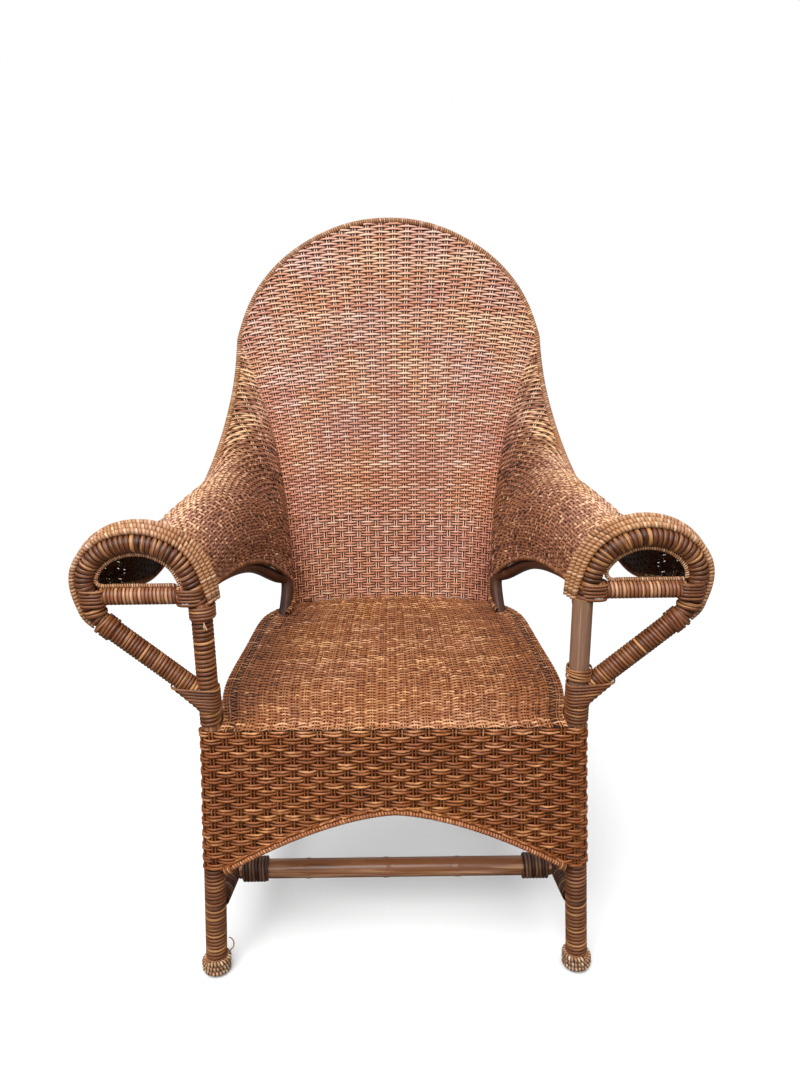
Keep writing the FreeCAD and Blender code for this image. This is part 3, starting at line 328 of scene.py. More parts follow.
def wrapTree():
    sizes = {"Pole Radius": "Float", "Pitch": "Float", "Steps": "Float", "Pole Sides": "Int"}
    tree, given, curve = pathTree("caneRoundPole", sizes)
    poleWidth = calc(tree, "MULTIPLY", given["Pole Radius"], 2)
    pole = sweep(tree, curve, section(tree, poleWidth, poleWidth, given["Pole Sides"]))
    pole = store(tree, store(tree, pole, "turn", -1.0), "along", 0.0)
    step = calc(tree, "DIVIDE", given["Pitch"], given["Steps"])
    fine = put(tree, "GeometryNodeResampleCurve", {"Curve": curve, "Length": step}, mode="LENGTH")[0]
    turns = calc(tree, "DIVIDE", lengthOn(tree), given["Pitch"])
    angle = calc(tree, "MULTIPLY", turns, 2 * math.pi)
    normal = put(tree, "GeometryNodeInputNormal")[0]
    tangent = put(tree, "GeometryNodeInputTangent")[0]
    side = vectorCalc(tree, "CROSS_PRODUCT", {0: tangent, 1: normal})[0]
    first = vectorCalc(tree, "SCALE", {0: normal, "Scale": calc(tree, "COSINE", angle)})[0]
    second = vectorCalc(tree, "SCALE", {0: side, "Scale": calc(tree, "SINE", angle)})[0]
    direction = vectorCalc(tree, "ADD", {0: first, 1: second})[0]
    keep = tree.nodes.new("GeometryNodeCaptureAttribute")
    keep.capture_items.new("VECTOR", "Direction")
    line, outer = list(fill(tree, keep, {0: fine, 1: direction}))[:2]
    # The cane's middle lies this share of its thickness outside the pole.
    standing = calc(tree, "MULTIPLY", given["Thickness"], 0.3)
    reach = calc(tree, "ADD", given["Pole Radius"], standing)
    shift = vectorCalc(tree, "SCALE", {0: outer, "Scale": reach})[0]
    line = store(tree, line, "turn", turns)
    line = put(tree, "GeometryNodeSetPosition", {"Geometry": line, "Offset": shift})[0]
    line = store(tree, facing(tree, line, outer), "along", lengthOn(tree))
    cane = sweep(tree, line, section(tree, given["Width"], given["Thickness"], given["Sides"]))
    both = tree.nodes.new("GeometryNodeJoinGeometry")
    for shape in (cane, pole):
        tree.links.new(shape, both.inputs[0])
    finishTree(tree, both.outputs[0], given["Material"])
    return tree


swept = sweptTree()
wound = wrapTree()


def grown(item, tree, values):
    change = item.modifiers.new("cane", "NODES")
    change.node_group = tree
    for socket in tree.interface.items_tree:
        if socket.name in values:
            change[socket.identifier] = values[socket.name]
    graph = bpy.context.evaluated_depsgraph_get()
    made = bpy.data.meshes.new_from_object(item.evaluated_get(graph), preserve_all_data_layers=True,
                                           depsgraph=graph)
    made.name = item.name
    old = item.data
    item.modifiers.remove(change)
    item.data = made
    bpy.data.meshes.remove(old)
    return item


def kept(item, node):
    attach(item, "root")
    if node:
        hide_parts(node)
    print(item.name, len(item.data.polygons), "faces")


def sweptPiece(name, node, slotName, strands, values, look, mirror=False):
    item = pathObject(name, strands, mirror)
    kept(grown(item, swept, {**values, "Material": canes[look]}), node)


def woundPiece(name, node, slotName, points, values, look, mirror=False, tint=0.5):
    item = pathObject(name, [strand(points, sideways(points), tint=tint)], mirror)
    kept(grown(item, wound, {**values, "Material": canes[look]}), node)


# A piece for each hand: a star in its names stands for right and left.
def pair(makePiece, name, node, *given, **more):
    for hand, mirror in hands:
        makePiece(name.replace("*", hand), node.replace("*", hand), *given, mirror=mirror, **more)


# The Mix node's colours are its inputs 6 and 7 and its output 2.
def mixColors(tree, amount, first, second):
    return put(tree, "ShaderNodeMix", {0: amount, 6: first, 7: second}, data_type="RGBA")[2]


def noiseAt(tree, place, scale, detail):
    return put(tree, "ShaderNodeTexNoise", {"Vector": place, "Scale": scale, "Detail": detail})[0]


def ranged(tree, value, low, high, top=1.0, easing="LINEAR"):
    sockets = {"Value": value, "From Min": low, "From Max": high, "To Max": top}
    return put(tree, "ShaderNodeMapRange", sockets, interpolation_type=easing)[0]


# Cane colours: one shared group mixes three shades by strand, along its length and across its width, then
# darkens them with painted shade.
# Patch and streak hold their noise's scale along, across and by tone, and its detail.
grain = {"patch": (22, 0.6, 90, 2), "streak": (60, 5.5, 61, 3), "toneShare": 0.34, "patchShare": 1.7,
         "streakShare": 0.9, "contrast": 2, "midFrom": 1.5, "edgePower": 3, "roughMore": 0.35, "rough": 0.25,
         "patinaScale": 11, "patinaDetail": 3, "patinaFrom": 0.36, "patinaTo": 0.64,
         "rosy": (0.97, 0.95, 1.04, 1), "golden": (1.04, 1.02, 0.89, 1), "bumpDepth": 0.0003,
         "specular": 0.3, "dipShadeStrength": 0.85, "placeAcross": 40}


def caneGroup():
    colors = {label: "Color" for label in ("Dark", "Mid", "Light")}
    masks = {label: "Float" for label in ("Tone", "Along", "Across", "Tint", "Dip Shade", "Edge Shade", "Dip Shade Strength")}
    tree, given = newGroup("caneLook", "ShaderNodeTree", {**colors, **masks},
                           {"Color": "Color", "Rough": "Float", "Height": "Float"})

    def noise(along, across, tone, detail):
        scaled = [calc(tree, "MULTIPLY", given[label], scale)
                  for label, scale in (("Along", along), ("Across", across), ("Tone", tone))]
        place = put(tree, "ShaderNodeCombineXYZ", dict(zip("XYZ", scaled)))[0]
        return noiseAt(tree, place, 1, detail)

    def aboutMiddle(value, share):
        return calc(tree, "MULTIPLY", calc(tree, "SUBTRACT", value, 0.5), share)

    streak = noise(*grain["streak"])
    total = aboutMiddle(given["Tint"], 1)
    for value, share in ((given["Tone"], "toneShare"), (noise(*grain["patch"]), "patchShare"),
                         (streak, "streakShare")):
        total = calc(tree, "ADD", total, aboutMiddle(value, grain[share]))
    low = calc(tree, "MULTIPLY_ADD", total, grain["contrast"], grain["midFrom"], clamp=True)
    high = calc(tree, "MULTIPLY", total, grain["contrast"], clamp=True)
    color = mixColors(tree, high, mixColors(tree, low, given["Dark"], given["Mid"]), given["Light"])
    # Painted shade: each strand darkens towards its two sides, where it meets its neighbours.
    side = calc(tree, "POWER", calc(tree, "ABSOLUTE", given["Across"]), grain["edgePower"])
    sideShade = calc(tree, "SUBTRACT", 1, calc(tree, "MULTIPLY", side, given["Edge Shade"]), clamp=True)
    # Painted shade where a strand dips behind a stake, and on the inner side of the arms' strands.
    dipShade = calc(tree, "SUBTRACT", 1, calc(tree, "MULTIPLY", given["Dip Shade"], given["Dip Shade Strength"]), clamp=True)
    shaded = vectorCalc(tree, "SCALE", {0: color, "Scale": calc(tree, "MULTIPLY", sideShade, dipShade)})[0]
    place = put(tree, "ShaderNodeTexCoord")["Object"]
    patina = noiseAt(tree, place, grain["patinaScale"], grain["patinaDetail"])
    patina = ranged(tree, patina, grain["patinaFrom"], grain["patinaTo"])
    hue = mixColors(tree, patina, grain["rosy"], grain["golden"])
    rough = calc(tree, "MULTIPLY_ADD", streak, grain["roughMore"], grain["rough"])
    put(tree, "NodeGroupOutput", {"Color": vectorCalc(tree, "MULTIPLY", {0: shaded, 1: hue})[0],
                                  "Rough": rough, "Height": streak})
    return tree


caneLook = caneGroup()


def caneMaterial(name, values, source):
    material = bpy.data.materials.new(name)
    material.use_nodes = True
    tree = material.node_tree
    sockets = source(tree)
    for key in ("dark", "mid", "light"):
        sockets[key.capitalize()] = (*values[key], 1)
    sockets["Edge Shade"] = values["edge"]
    sockets["Dip Shade Strength"] = values.get("dipShadeStrength", grain["dipShadeStrength"])
    cane = put(tree, "ShaderNodeGroup", sockets, node_tree=caneLook)
    bump = put(tree, "ShaderNodeBump", {"Strength": values["bump"], "Distance": grain["bumpDepth"],
                                        "Height": cane["Height"]})[0]
    fill(tree, tree.nodes["Principled BSDF"],
         {"Base Color": cane["Color"], "Roughness": cane["Rough"], "Normal": bump,
          "Specular IOR Level": grain["specular"], "Coat Weight": values["coat"],
          "Coat Roughness": values["coatRough"]})
    return material


# Where a cane's look comes from: each source gives sockets of the shared group.
# Painted shade: where it starts and where it is full as a strand dips behind a stake, and how dark the arms'
# strands get on their inner side.
behindShade = {"from": -0.2, "to": -0.85, "innerFrom": 0.0, "innerTo": -0.4, "inner": 0.95}


def attribute(tree, label):
    return put(tree, "ShaderNodeAttribute", attribute_name=label)["Fac"]


def fromStrand(tree):
    return {label: attribute(tree, label.lower()) for label in ("Tone", "Along", "Across", "Tint")}


# Strands get painted shade where they dip behind a stake.
def fromWeave(tree):
    hidden = calc(tree, "MULTIPLY", attribute(tree, "wave"), attribute(tree, "crown"))
    return {**fromStrand(tree), "Dip Shade": ranged(tree, hidden, behindShade["from"], behindShade["to"], easing="SMOOTHSTEP")}


# The strands of the rolled arms get painted shade on their inner side too.
def fromRoll(tree):
    sockets = fromWeave(tree)
    inner = ranged(tree, attribute(tree, "crown"), behindShade["innerFrom"], behindShade["innerTo"], behindShade["inner"])
    return {**sockets, "Dip Shade": calc(tree, "MAXIMUM", sockets["Dip Shade"], inner)}


# Each turn has its own tone, and the pole seen between the turns gets painted shade.
def fromTurns(tree, variety=0.30, poleShade=0.95):
    sockets = fromStrand(tree)
    turn = attribute(tree, "turn")
    dice = put(tree, "ShaderNodeTexWhiteNoise", {"W": calc(tree, "FLOOR", turn)}, noise_dimensions="1D")
    onTurn = calc(tree, "GREATER_THAN", turn, -0.5)
    base = calc(tree, "MULTIPLY_ADD", onTurn, poleShade, -poleShade - variety / 2)
    varied = calc(tree, "MULTIPLY_ADD", dice["Value"], variety, base)
    return {**sockets, "Tone": dice["Value"], "Tint": calc(tree, "ADD", varied, sockets["Tint"])}


def fromRods(tree):
    return fromTurns(tree, 0.06, 0.80)


# Long dark streaks down a bare pole.
def fromGrain(tree):
    sockets = fromStrand(tree)
    for label, scale in (("Along", 0.30), ("Across", 4.0)):
        sockets[label] = calc(tree, "MULTIPLY", sockets[label], scale)
    return sockets


# CAD nodes and the shade skins have no strands, so their look comes from where they are.
def fromPlace(tree):
    place = put(tree, "ShaderNodeSeparateXYZ", {0: put(tree, "ShaderNodeTexCoord")["Object"]})
    across = calc(tree, "MULTIPLY", place["X"], grain["placeAcross"])
    return {"Along": place["Z"], "Across": across, "Tone": place["Y"], "Tint": 0.5}


looks = {
    "shell": {"dark": (0.130, 0.032, 0.016), "mid": (0.680, 0.285, 0.170), "light": (0.990, 0.680, 0.510),
              "edge": 0.75, "coat": 0.12, "coatRough": 0.3, "bump": 0.35, "dipShadeStrength": 0.95},
    "arm": {"dark": (0.050, 0.013, 0.008), "mid": (0.330, 0.125, 0.062), "light": (0.920, 0.560, 0.330),
            "edge": 0.65, "coat": 0.15, "coatRough": 0.3, "bump": 0.35, "dipShadeStrength": 0.97},
    "seat": {"dark": (0.090, 0.022, 0.006), "mid": (0.310, 0.098, 0.025), "light": (0.800, 0.420, 0.200),
             "edge": 0.4, "coat": 0.22, "coatRough": 0.25, "bump": 0.3, "dipShadeStrength": 0.9},
    "apron": {"dark": (0.050, 0.011, 0.003), "mid": (0.300, 0.080, 0.013), "light": (0.860, 0.400, 0.160),
              "edge": 0.6, "coat": 0.22, "coatRough": 0.25, "bump": 0.3},
    "wrap": {"dark": (0.038, 0.011, 0.005), "mid": (0.195, 0.062, 0.021), "light": (0.600, 0.280, 0.105),
             "edge": 0.65, "coat": 0.2, "coatRough": 0.25, "bump": 0.35},
    "bow": {"dark": (0.028, 0.008, 0.003), "mid": (0.145, 0.046, 0.018), "light": (0.600, 0.280, 0.110),
            "edge": 0.5, "coat": 0.25, "coatRough": 0.25, "bump": 0.35},
    "dark": {"dark": (0.025, 0.009, 0.005), "mid": (0.085, 0.031, 0.016), "light": (0.270, 0.135, 0.075),
             "edge": 0.6, "coat": 0.2, "coatRough": 0.3, "bump": 0.35},
    "bead": {"dark": (0.110, 0.038, 0.014), "mid": (0.430, 0.200, 0.090), "light": (0.860, 0.580, 0.390),
             "edge": 0.45, "coat": 0.2, "coatRough": 0.3, "bump": 0.3},
    "rod": {"dark": (0.13, 0.038, 0.014), "mid": (0.42, 0.150, 0.060), "light": (0.74, 0.36, 0.19),
            "edge": 0.2, "coat": 0.25, "coatRough": 0.3, "bump": 0.3},
    "bar": {"dark": (0.07, 0.020, 0.009), "mid": (0.31, 0.115, 0.050), "light": (0.72, 0.40, 0.21),
            "edge": 0.5, "coat": 0.3, "coatRough": 0.25, "bump": 0.35},
    "coil": {"dark": (0.10, 0.040, 0.018), "mid": (0.44, 0.23, 0.12), "light": (0.95, 0.75, 0.55),
             "edge": 0.85, "coat": 0.1, "coatRough": 0.4, "bump": 0.3},
    "pole": {"dark": (0.045, 0.014, 0.006), "mid": (0.260, 0.098, 0.040), "light": (0.760, 0.430, 0.240),
             "edge": 0.0, "coat": 0.5, "coatRough": 0.15, "bump": 0.3},
    "grey": {"dark": (0.020, 0.009, 0.006), "mid": (0.27, 0.148, 0.090), "light": (0.60, 0.38, 0.25),
             "edge": 0.0, "coat": 0.15, "coatRough": 0.35, "bump": 0.6},
    # The skin behind the weave: painted shade, seen only through the gaps.
    "core": {"dark": (0.012, 0.005, 0.003), "mid": (0.035, 0.013, 0.007), "light": (0.08, 0.033, 0.018),
             "edge": 0.0, "coat": 0.0, "coatRough": 0.5, "bump": 0.2},
}
finishes = {
    "shell_cane": ("shell", fromWeave), "seat_cane": ("seat", fromWeave), "apron_cane": ("apron", fromWeave),
    "arm_cane": ("arm", fromRoll), "wrap_cane": ("wrap", fromTurns), "bow_cane": ("bow", fromTurns),
    "dark_cane": ("dark", fromTurns), "rod_cane": ("rod", fromRods), "bar_cane": ("bar", fromTurns),
    "coil_cane": ("coil", fromTurns), "gap_shade_cane": ("core", fromPlace), "lash_cane": ("wrap", fromStrand),
    "pale_cane": ("bead", fromStrand), "bead_cane": ("bead", fromRods), "pole_cane": ("pole", fromGrain),
    "dark_pole": ("dark", fromStrand), "grey_cane": ("grey", fromGrain), "plain_pole": ("pole", fromPlace),
}
canes = {name: caneMaterial(name, looks[key], source) for name, (key, source) in finishes.items()}
print("materials ready")


# Woven panels: a grid of stakes (first axis) and levels (second axis) over each surface.
def netGrid(lines, places, ups):
    lined = np.stack([splineAt(line, places) for line in lines])
    poles = splinePoles(lined.reshape(len(lines), -1))
    return splineAt(poles, ups).reshape(len(ups), len(places), 3).transpose(1, 0, 2)


def wovenPanel(grid, marks, toward):
    sides = unit(np.cross(np.gradient(grid, axis=0), np.gradient(grid, axis=1)))
    middle = sides[grid.shape[0] // 2, grid.shape[1] // 2]
    steps = np.linalg.norm(np.diff(grid, axis=1), axis=2)
    reach = np.concatenate([np.zeros((len(grid), 1)), np.cumsum(steps, axis=1)], axis=1)
    return {"grid": grid, "sides": sides * np.sign(middle @ toward), "marks": marks, "reach": reach}


# Grid lines for each stake, levels from a panel's foot to its top, and levels for each cell of its skin.
perStake = 4
upLevels = np.linspace(0, len(backLines) - 1, 161)
coreEvery = 4
weave = {"flatness": 0.85, "swell": 0.97, "swellOver": 0.05, "uneven": 0.02, "rowShift": 0.00012,
         "stakeTones": (0.3, 1), "palerFrom": 0.50, "palerTo": 0.62, "coreHalf": 0.0003}


def stakeMarks(pairs):
    return np.linspace(0, pairs, pairs * perStake + 1)


def evenPlaces(lines, last, pairs):
    fine = np.linspace(0, last, 400)
    middle = np.array([(len(lines) - 1) / 2])
    lengths = lengthsAlong(netGrid(lines, fine, middle)[:, 0])
    return np.interp(stakeMarks(pairs) / pairs * lengths[-1], lengths, fine)


def sameSwell(index, level, k):
    return 1.0


# A panel's own tint, with bright flecks of painted glints and dark flecks of painted shade in small gaps,
# painted light where the strand is on top and painted shade where it dips, and a little chance.
def tinted(base, points, wave, tones):
    for height, above in tones["glintsAndGaps"]:
        base = base + height * (chance.uniform(0, 1, len(points)) > above)
    return base + tones["over"] * wave + chance.normal(0, tones["spread"], len(points))


# The panel's reach gives every grid point's row coordinate; each row is a coordinate and a parity.
def weaveRows(panel, rows, values, tintAt, swellAt=sameSwell):
    grid, sides, marks = panel["grid"], panel["sides"], panel["marks"]
    levels = np.arange(grid.shape[1])
    top = levels[-1] - values["tuck"]
    coordinates, parities = np.array(rows).T
    floors = np.empty((len(rows), len(marks)))
    for i in range(len(marks)):
        floors[:, i] = np.interp(coordinates, panel["reach"][i], levels, left=-1, right=np.inf)
    index = np.arange(len(marks))
    strands = []
    for k, parity in enumerate(parities):
        inside = (floors[k] >= 0) & (floors[k] <= top)
        if not inside.any():
            continue
        grownInside = inside.copy()
        grownInside[1:] |= inside[:-1]
        grownInside[:-1] |= inside[1:]
        level = np.clip(floors[k], 0, top)
        low = np.minimum(level.astype(int), len(levels) - 2)
        part = (level - low)[:, None]
        here = grid[index, low] * (1 - part) + grid[index, low + 1] * part
        out = unit(sides[index, low] * (1 - part) + sides[index, low + 1] * part)
        wave = np.cos(np.pi * (marks - 0.5 + parity))
        sharp = np.sign(wave) * np.abs(wave) ** weave["flatness"]
        here = here + out * (sharp * values["amplitude"])[:, None]
        here = here + chance.normal(0, values["jitter"], here.shape)
        swell = weave["swell"] + weave["swellOver"] * np.abs(sharp)
        swell = (swell + chance.normal(0, weave["uneven"], len(marks))) * swellAt(index, level, k)
        tone = chance.uniform(0, 1)
        bounds = np.flatnonzero(np.diff(np.concatenate([[0], grownInside.astype(int), [0]])))
        for first, last in zip(bounds[::2], bounds[1::2]):
            if last - first >= 2:
                cut = slice(first, last)
                tint = tintAt(here[cut], sharp[cut])
                strands.append(strand(here[cut], out[cut], tone, swell[cut], tint, wave[cut]))
    return strands


# Two canes side by side for each stake.
def stakeRods(panel, values, tintAt):
    strands = []
    for i in range(perStake // 2, len(panel["marks"]), perStake):
        line, out = panel["grid"][i], panel["sides"][i]
        aside = np.cross(out, unit(np.gradient(line, axis=0)))
        for side in (-1, 1):
            path = (line + aside * (side * values["apart"] / 2))[::values["skip"]]
            down = 1 - blend(path[:, 2], weave["palerFrom"], weave["palerTo"])
            paler = values["pale"] + values.get("palerDown", 0) * down
            tone = chance.uniform(*weave["stakeTones"])
            strands.append(strand(path, out[::values["skip"]], tone, 1.0, tintAt(path, 0) + paler))
    return strands


def singleRows(first, last, pitch, parity):
    count = int((last - first) / pitch)
    return [(first + (k + 0.5) * pitch + chance.normal(0, weave["rowShift"]), (parity + k) % 2)
            for k in range(count)]


def doubleRows(first, last, pitch, parity):
    count = int((last - first) / pitch)
    return [(first + (k + 0.5) * pitch, (parity + k // 2) % 2) for k in range(count)]


# A thin skin behind the strands closes a panel's fine gaps; its near-black colour is painted shade seen
# through them.
def shadeSkinPiece(name, node, panel, inset, every=coreEvery, cells=None, mirror=False):
    sides = panel["sides"][::2, ::every]
    half = sides * weave["coreHalf"]
    grid = panel["grid"][::2, ::every] - sides * inset
    ups = grid.shape[1]
    points = np.concatenate([(grid + half).reshape(-1, 3), (grid - half).reshape(-1, 3)]) + toRow
    if mirror:
        points = mirrored(points)
    if cells is None:
        cells = np.ones((len(grid) - 1, ups - 1), bool)
    around = np.pad(cells, 1)
    lower = len(points) // 2
    faces = []
    for i, j in np.argwhere(cells).tolist():
        corners = [i * ups + j, (i + 1) * ups + j, (i + 1) * ups + j + 1, i * ups + j + 1]
        faces.append(corners)
        faces.append([lower + k for k in reversed(corners)])
        for k, (di, dj) in enumerate(((0, -1), (1, 0), (0, 1), (-1, 0))):
            if not around[i + 1 + di, j + 1 + dj]:
                a, b = corners[k], corners[(k + 1) % 4]
                faces.append([b, a, lower + a, lower + b])
    mesh = bpy.data.meshes.new(name)
    mesh.from_pydata(points.tolist(), [], faces)
    work = bmesh.new()
    work.from_mesh(mesh)
    bmesh.ops.delete(work, geom=[v for v in work.verts if not v.link_faces], context="VERTS")
    bmesh.ops.recalc_face_normals(work, faces=work.faces)
    work.to_mesh(mesh)
    work.free()
    mesh.materials.append(canes["gap_shade_cane"])
    kept(placed(name, mesh), node)


# Woven back: double rows at its foot and single rows above.
back = {"pairs": 26, "amplitude": 0.0027, "jitter": 0.00012, "tuck": 1.0, "doubleTo": 0.150,
        "doublePitch": 0.0048, "pitch": 0.0047, "top": 0.72, "apart": 0.0042, "skip": 4, "pale": 0.02,
        "palerDown": 0.20, "core": 0.0018}
backTones = {"foot": 0.43, "rise": 0.25, "riseFrom": 0.42, "riseTo": 0.85, "rim": 0.176, "rimLean": 0.20,
             "valleyShade": 0.50, "valleyWidth": 0.055, "valleyFrom": 0.62, "valleyTo": 0.86, "glintsAndGaps": (),
             "over": 0.06, "spread": 0.05}


def backTint(points, wave):
    tones = backTones
    height = points[:, 2]
    pale = tones["foot"] + tones["rise"] * blend(height, tones["riseFrom"], tones["riseTo"])
    rim = tones["rim"] + tones["rimLean"] * np.clip(height - tones["riseFrom"], 0, 1)
    # Painted shade in the valley where the back meets the arms, fading out higher up.
    valleyShade = blend(np.abs(points[:, 0]), rim - tones["valleyWidth"], rim)
    valleyShade = valleyShade * (1 - blend(height, tones["valleyFrom"], tones["valleyTo"]))
    return tinted(pale - tones["valleyShade"] * valleyShade, points, wave, tones)


backPlaces = evenPlaces(backLines, backSpans, back["pairs"])
backPanel = wovenPanel(netGrid(backLines, backPlaces, upLevels), stakeMarks(back["pairs"]), (0, -1, 0))
shadeSkinPiece("back_shade_skin", "woven_back", backPanel, back["core"])
lowerRows = doubleRows(0.0, back["doubleTo"], back["doublePitch"], 0)
upperRows = singleRows(back["doubleTo"], back["top"], back["pitch"], 1)
for name, rows, width in (("lower", lowerRows, 0.0038), ("upper", upperRows, 0.0043)):
    sweptPiece("back_weave_" + name, "woven_back", "woven_cane", weaveRows(backPanel, rows, back, backTint),
               {"Width": width, "Thickness": 0.0024, "Sides": 6}, "shell_cane")
sweptPiece("back_stakes", "woven_back", "woven_cane", stakeRods(backPanel, back, backTint),
           {"Width": 0.0027, "Thickness": 0.0027, "Sides": 6}, "shell_cane")

# Woven arms: their rows carry on from the back's rows and end on the rods of the arm front.
arm = {"pairs": 42, "amplitude": 0.0019, "jitter": 0.00018, "tuck": 1.0, "doubleTo": 0.150,
       "doublePitch": 0.0048, "pitch": 0.0047, "top": 0.60, "apart": 0.0036, "skip": 4, "pale": 0.15,
       "rise": 0.07, "core": 0.0016, "openFrom": 5.15, "openLevel": 25, "openShare": 0.45, "thin": 0.45,
       "thinAbove": 0.80, "thinPlaces": (4.9, 5.3), "thinLevels": (92, 105)}
armTones = {"base": 0.08, "outer": 0.62, "heights": (0.60, 0.78), "outerFrom": (0.21, 0.05),
            "outerTo": (0.33, 0.10), "glintsAndGaps": ((0.50, 0.86), (-0.25, 0.80)), "over": 0.08, "spread": 0.08}
armPlaces = evenPlaces(armLines, armSpans, arm["pairs"])
armPanel = wovenPanel(netGrid(armLines, armPlaces, upLevels), stakeMarks(arm["pairs"]), (0, 0, 1))
armPanel["reach"] = armPanel["reach"] + (arm["rise"] * armPlaces / armSpans)[:, None]


# Painted light and shade: the arm is dark on its inner wall and lighter towards its outer crest.
def armTint(points, wave):
    high = blend(points[:, 2], *armTones["heights"])
    limits = [low - lean * high for low, lean in (armTones["outerFrom"], armTones["outerTo"])]
    outer = blend(points[:, 0], *limits)
    return tinted(armTones["base"] + armTones["outer"] * outer, points, wave, armTones)


# Near the rods the roll's outer side is woven more openly and lets light slits through.
def armSwell(index, level, k):
    thin = arm["thin"] * (chance.uniform(0, 1, len(index)) > arm["thinAbove"])
    return 1 - thin * blend(armPlaces[index], *arm["thinPlaces"]) * blend(level, *arm["thinLevels"])


armCells = np.ones((len(armPlaces) // 2, len(upLevels) // coreEvery), bool)
for i, place in enumerate(armPlaces[:-1:2]):
    dice = chance.uniform(0, 1, armCells.shape[1] - arm["openLevel"])
    armCells[i, arm["openLevel"]:] = (place < arm["openFrom"]) | (dice > arm["openShare"])
armRows = (doubleRows(0.0, arm["doubleTo"], arm["doublePitch"], 0)
           + singleRows(arm["doubleTo"], arm["top"], arm["pitch"], 1))
armStrands = weaveRows(armPanel, armRows, arm, armTint, armSwell)
armStakes = stakeRods(armPanel, arm, armTint)
pair(sweptPiece, "arm_weave_*", "woven_arm_*", "woven_cane", armStrands,
     {"Width": 0.0046, "Thickness": 0.0024, "Sides": 5}, "arm_cane")
pair(sweptPiece, "arm_stakes_*", "woven_arm_*", "woven_cane", armStakes,
     {"Width": 0.0026, "Thickness": 0.0026, "Sides": 5}, "arm_cane")
pair(shadeSkinPiece, "arm_core_*", "woven_arm_*", armPanel, arm["core"], cells=armCells)

# Woven seat: rows from side to side, a little bowed with the foot of the back.
seat = {"pairs": 31, "amplitude": 0.0014, "jitter": 0.00008, "tuck": 0.0, "pitch": 0.0044, "depth": 0.50,
        "apart": 0.0034, "skip": 4, "pale": 0.0, "front": -0.0158, "sag": 0.007, "foot": 0.0028,
        "core": 0.0012, "slitFrom": (0.905, 0.918), "slitTo": (0.968, 0.982), "slit": 0.97, "beside": 0.38}
seatTones = {"base": 0.49, "side": -0.32, "sideFrom": (0.60, 0.90), "sideTo": (0.90, 0.93), "sideEnd": 0.9,
             "front": 0.22, "frontHighlightBand": (-0.020, 0.004), "glintsAndGaps": ((0.42, 0.94), (-0.50, 0.86)),
             "over": 0.05, "spread": 0.05}
seatEdge = np.array([(across * halfSpan, depth * chair["seatDepth"], 0) for depth, across in seatEdgeShares])
seatEdge[0, 1] = seat["front"]
seatEdgePoles = splinePoles(seatEdge)
seatAcross = stakeMarks(seat["pairs"]) / seat["pairs"] * 2 - 1
seatBacks = np.linspace(0, 1, 121)
edgeAt = splineAt(seatEdgePoles, seatBacks * (len(seatEdge) - 1))
rearAt = splineAt(backLines[0], backSpans * (1 + seatAcross) / 2)
seatGrid = np.empty((len(seatAcross), len(seatBacks), 3))
for i, across in enumerate(seatAcross):
    sag = seat["sag"] * ((1 - across**2) * np.sin(np.pi * seatBacks)) ** 2
    bowed = (rearAt[i, 1] - edgeAt[:, 1]) * seatBacks**2 - seat["foot"] * seatBacks
    seatGrid[i] = np.stack([across * edgeAt[:, 0], edgeAt[:, 1] + bowed, chair["seatHeight"] - sag], axis=1)
seatPanel = wovenPanel(seatGrid, stakeMarks(seat["pairs"]), (0, 0, 1))
seatReach = seatPanel["reach"]
seatPanel["reach"] = seatReach / seatReach[:, -1:] * seatReach[:, -1].mean()


# Painted shade in a band towards each side of the seat, and a painted highlight along its front edge.
def seatTint(points, wave):
    tones = seatTones
    share = np.abs(points[:, 0]) / np.interp(points[:, 1], edgeAt[:, 1], edgeAt[:, 0])
    side = blend(share, *tones["sideFrom"]) * (1 - tones["sideEnd"] * blend(share, *tones["sideTo"]))
    front = blend(-points[:, 1], *tones["frontHighlightBand"])
    return tinted(tones["base"] + tones["side"] * side + tones["front"] * front, points, wave, tones)


# Beside the rails every third row is pulled thin, which leaves dark slits.
def seatSwell(index, level, k):
    share = np.abs(seatAcross[index])
    zone = blend(share, *seat["slitFrom"]) * (1 - blend(share, *seat["slitTo"]))
    return 1 - zone * (seat["slit"] if k % 3 == 0 else seat["beside"])


shadeSkinPiece("seat_shade_skin", "woven_seat", seatPanel, seat["core"])
seatRows = singleRows(0.0, seat["depth"], seat["pitch"], 0)
sweptPiece("seat_weave", "woven_seat", "woven_cane",
           weaveRows(seatPanel, seatRows, seat, seatTint, seatSwell),
           {"Width": 0.0048, "Thickness": 0.0021, "Sides": 6}, "seat_cane")
sweptPiece("seat_stakes", "woven_seat", "woven_cane", stakeRods(seatPanel, seat, seatTint),
           {"Width": 0.0024, "Thickness": 0.0022, "Sides": 6}, "seat_cane")

# A front leg runs straight up from its splayed foot, then bends round to the upright post.
legFoot = np.array([chair["footSpan"], 0, 0])
toBend = np.array([halfSpan + chair["bendRadius"], 0, chair["bendTop"]]) - legFoot
legAngle = math.atan2(toBend[2], toBend[0]) + math.asin(chair["bendRadius"] / np.linalg.norm(toBend))
legAlong = np.array([math.cos(legAngle), 0, math.sin(legAngle)])
bendStart = legFoot + legAlong * math.sqrt(toBend @ toBend - chair["bendRadius"] ** 2)


def legX(height):
    height = np.asarray(height, float)
    lower = legFoot[0] + height * legAlong[0] / legAlong[2]
    drop = np.clip(chair["bendTop"] - height, 0, chair["bendRadius"])
    curved = halfSpan + chair["bendRadius"] - np.sqrt(chair["bendRadius"] ** 2 - drop**2)
    return np.where(height < bendStart[2], lower, np.where(height < chair["bendTop"], curved, halfSpan))


def legPath(low, high, step=0.006):
    heights = np.linspace(low, high, max(3, int((high - low) / step)))
    return np.stack([legX(heights), np.zeros(len(heights)), heights], axis=1)


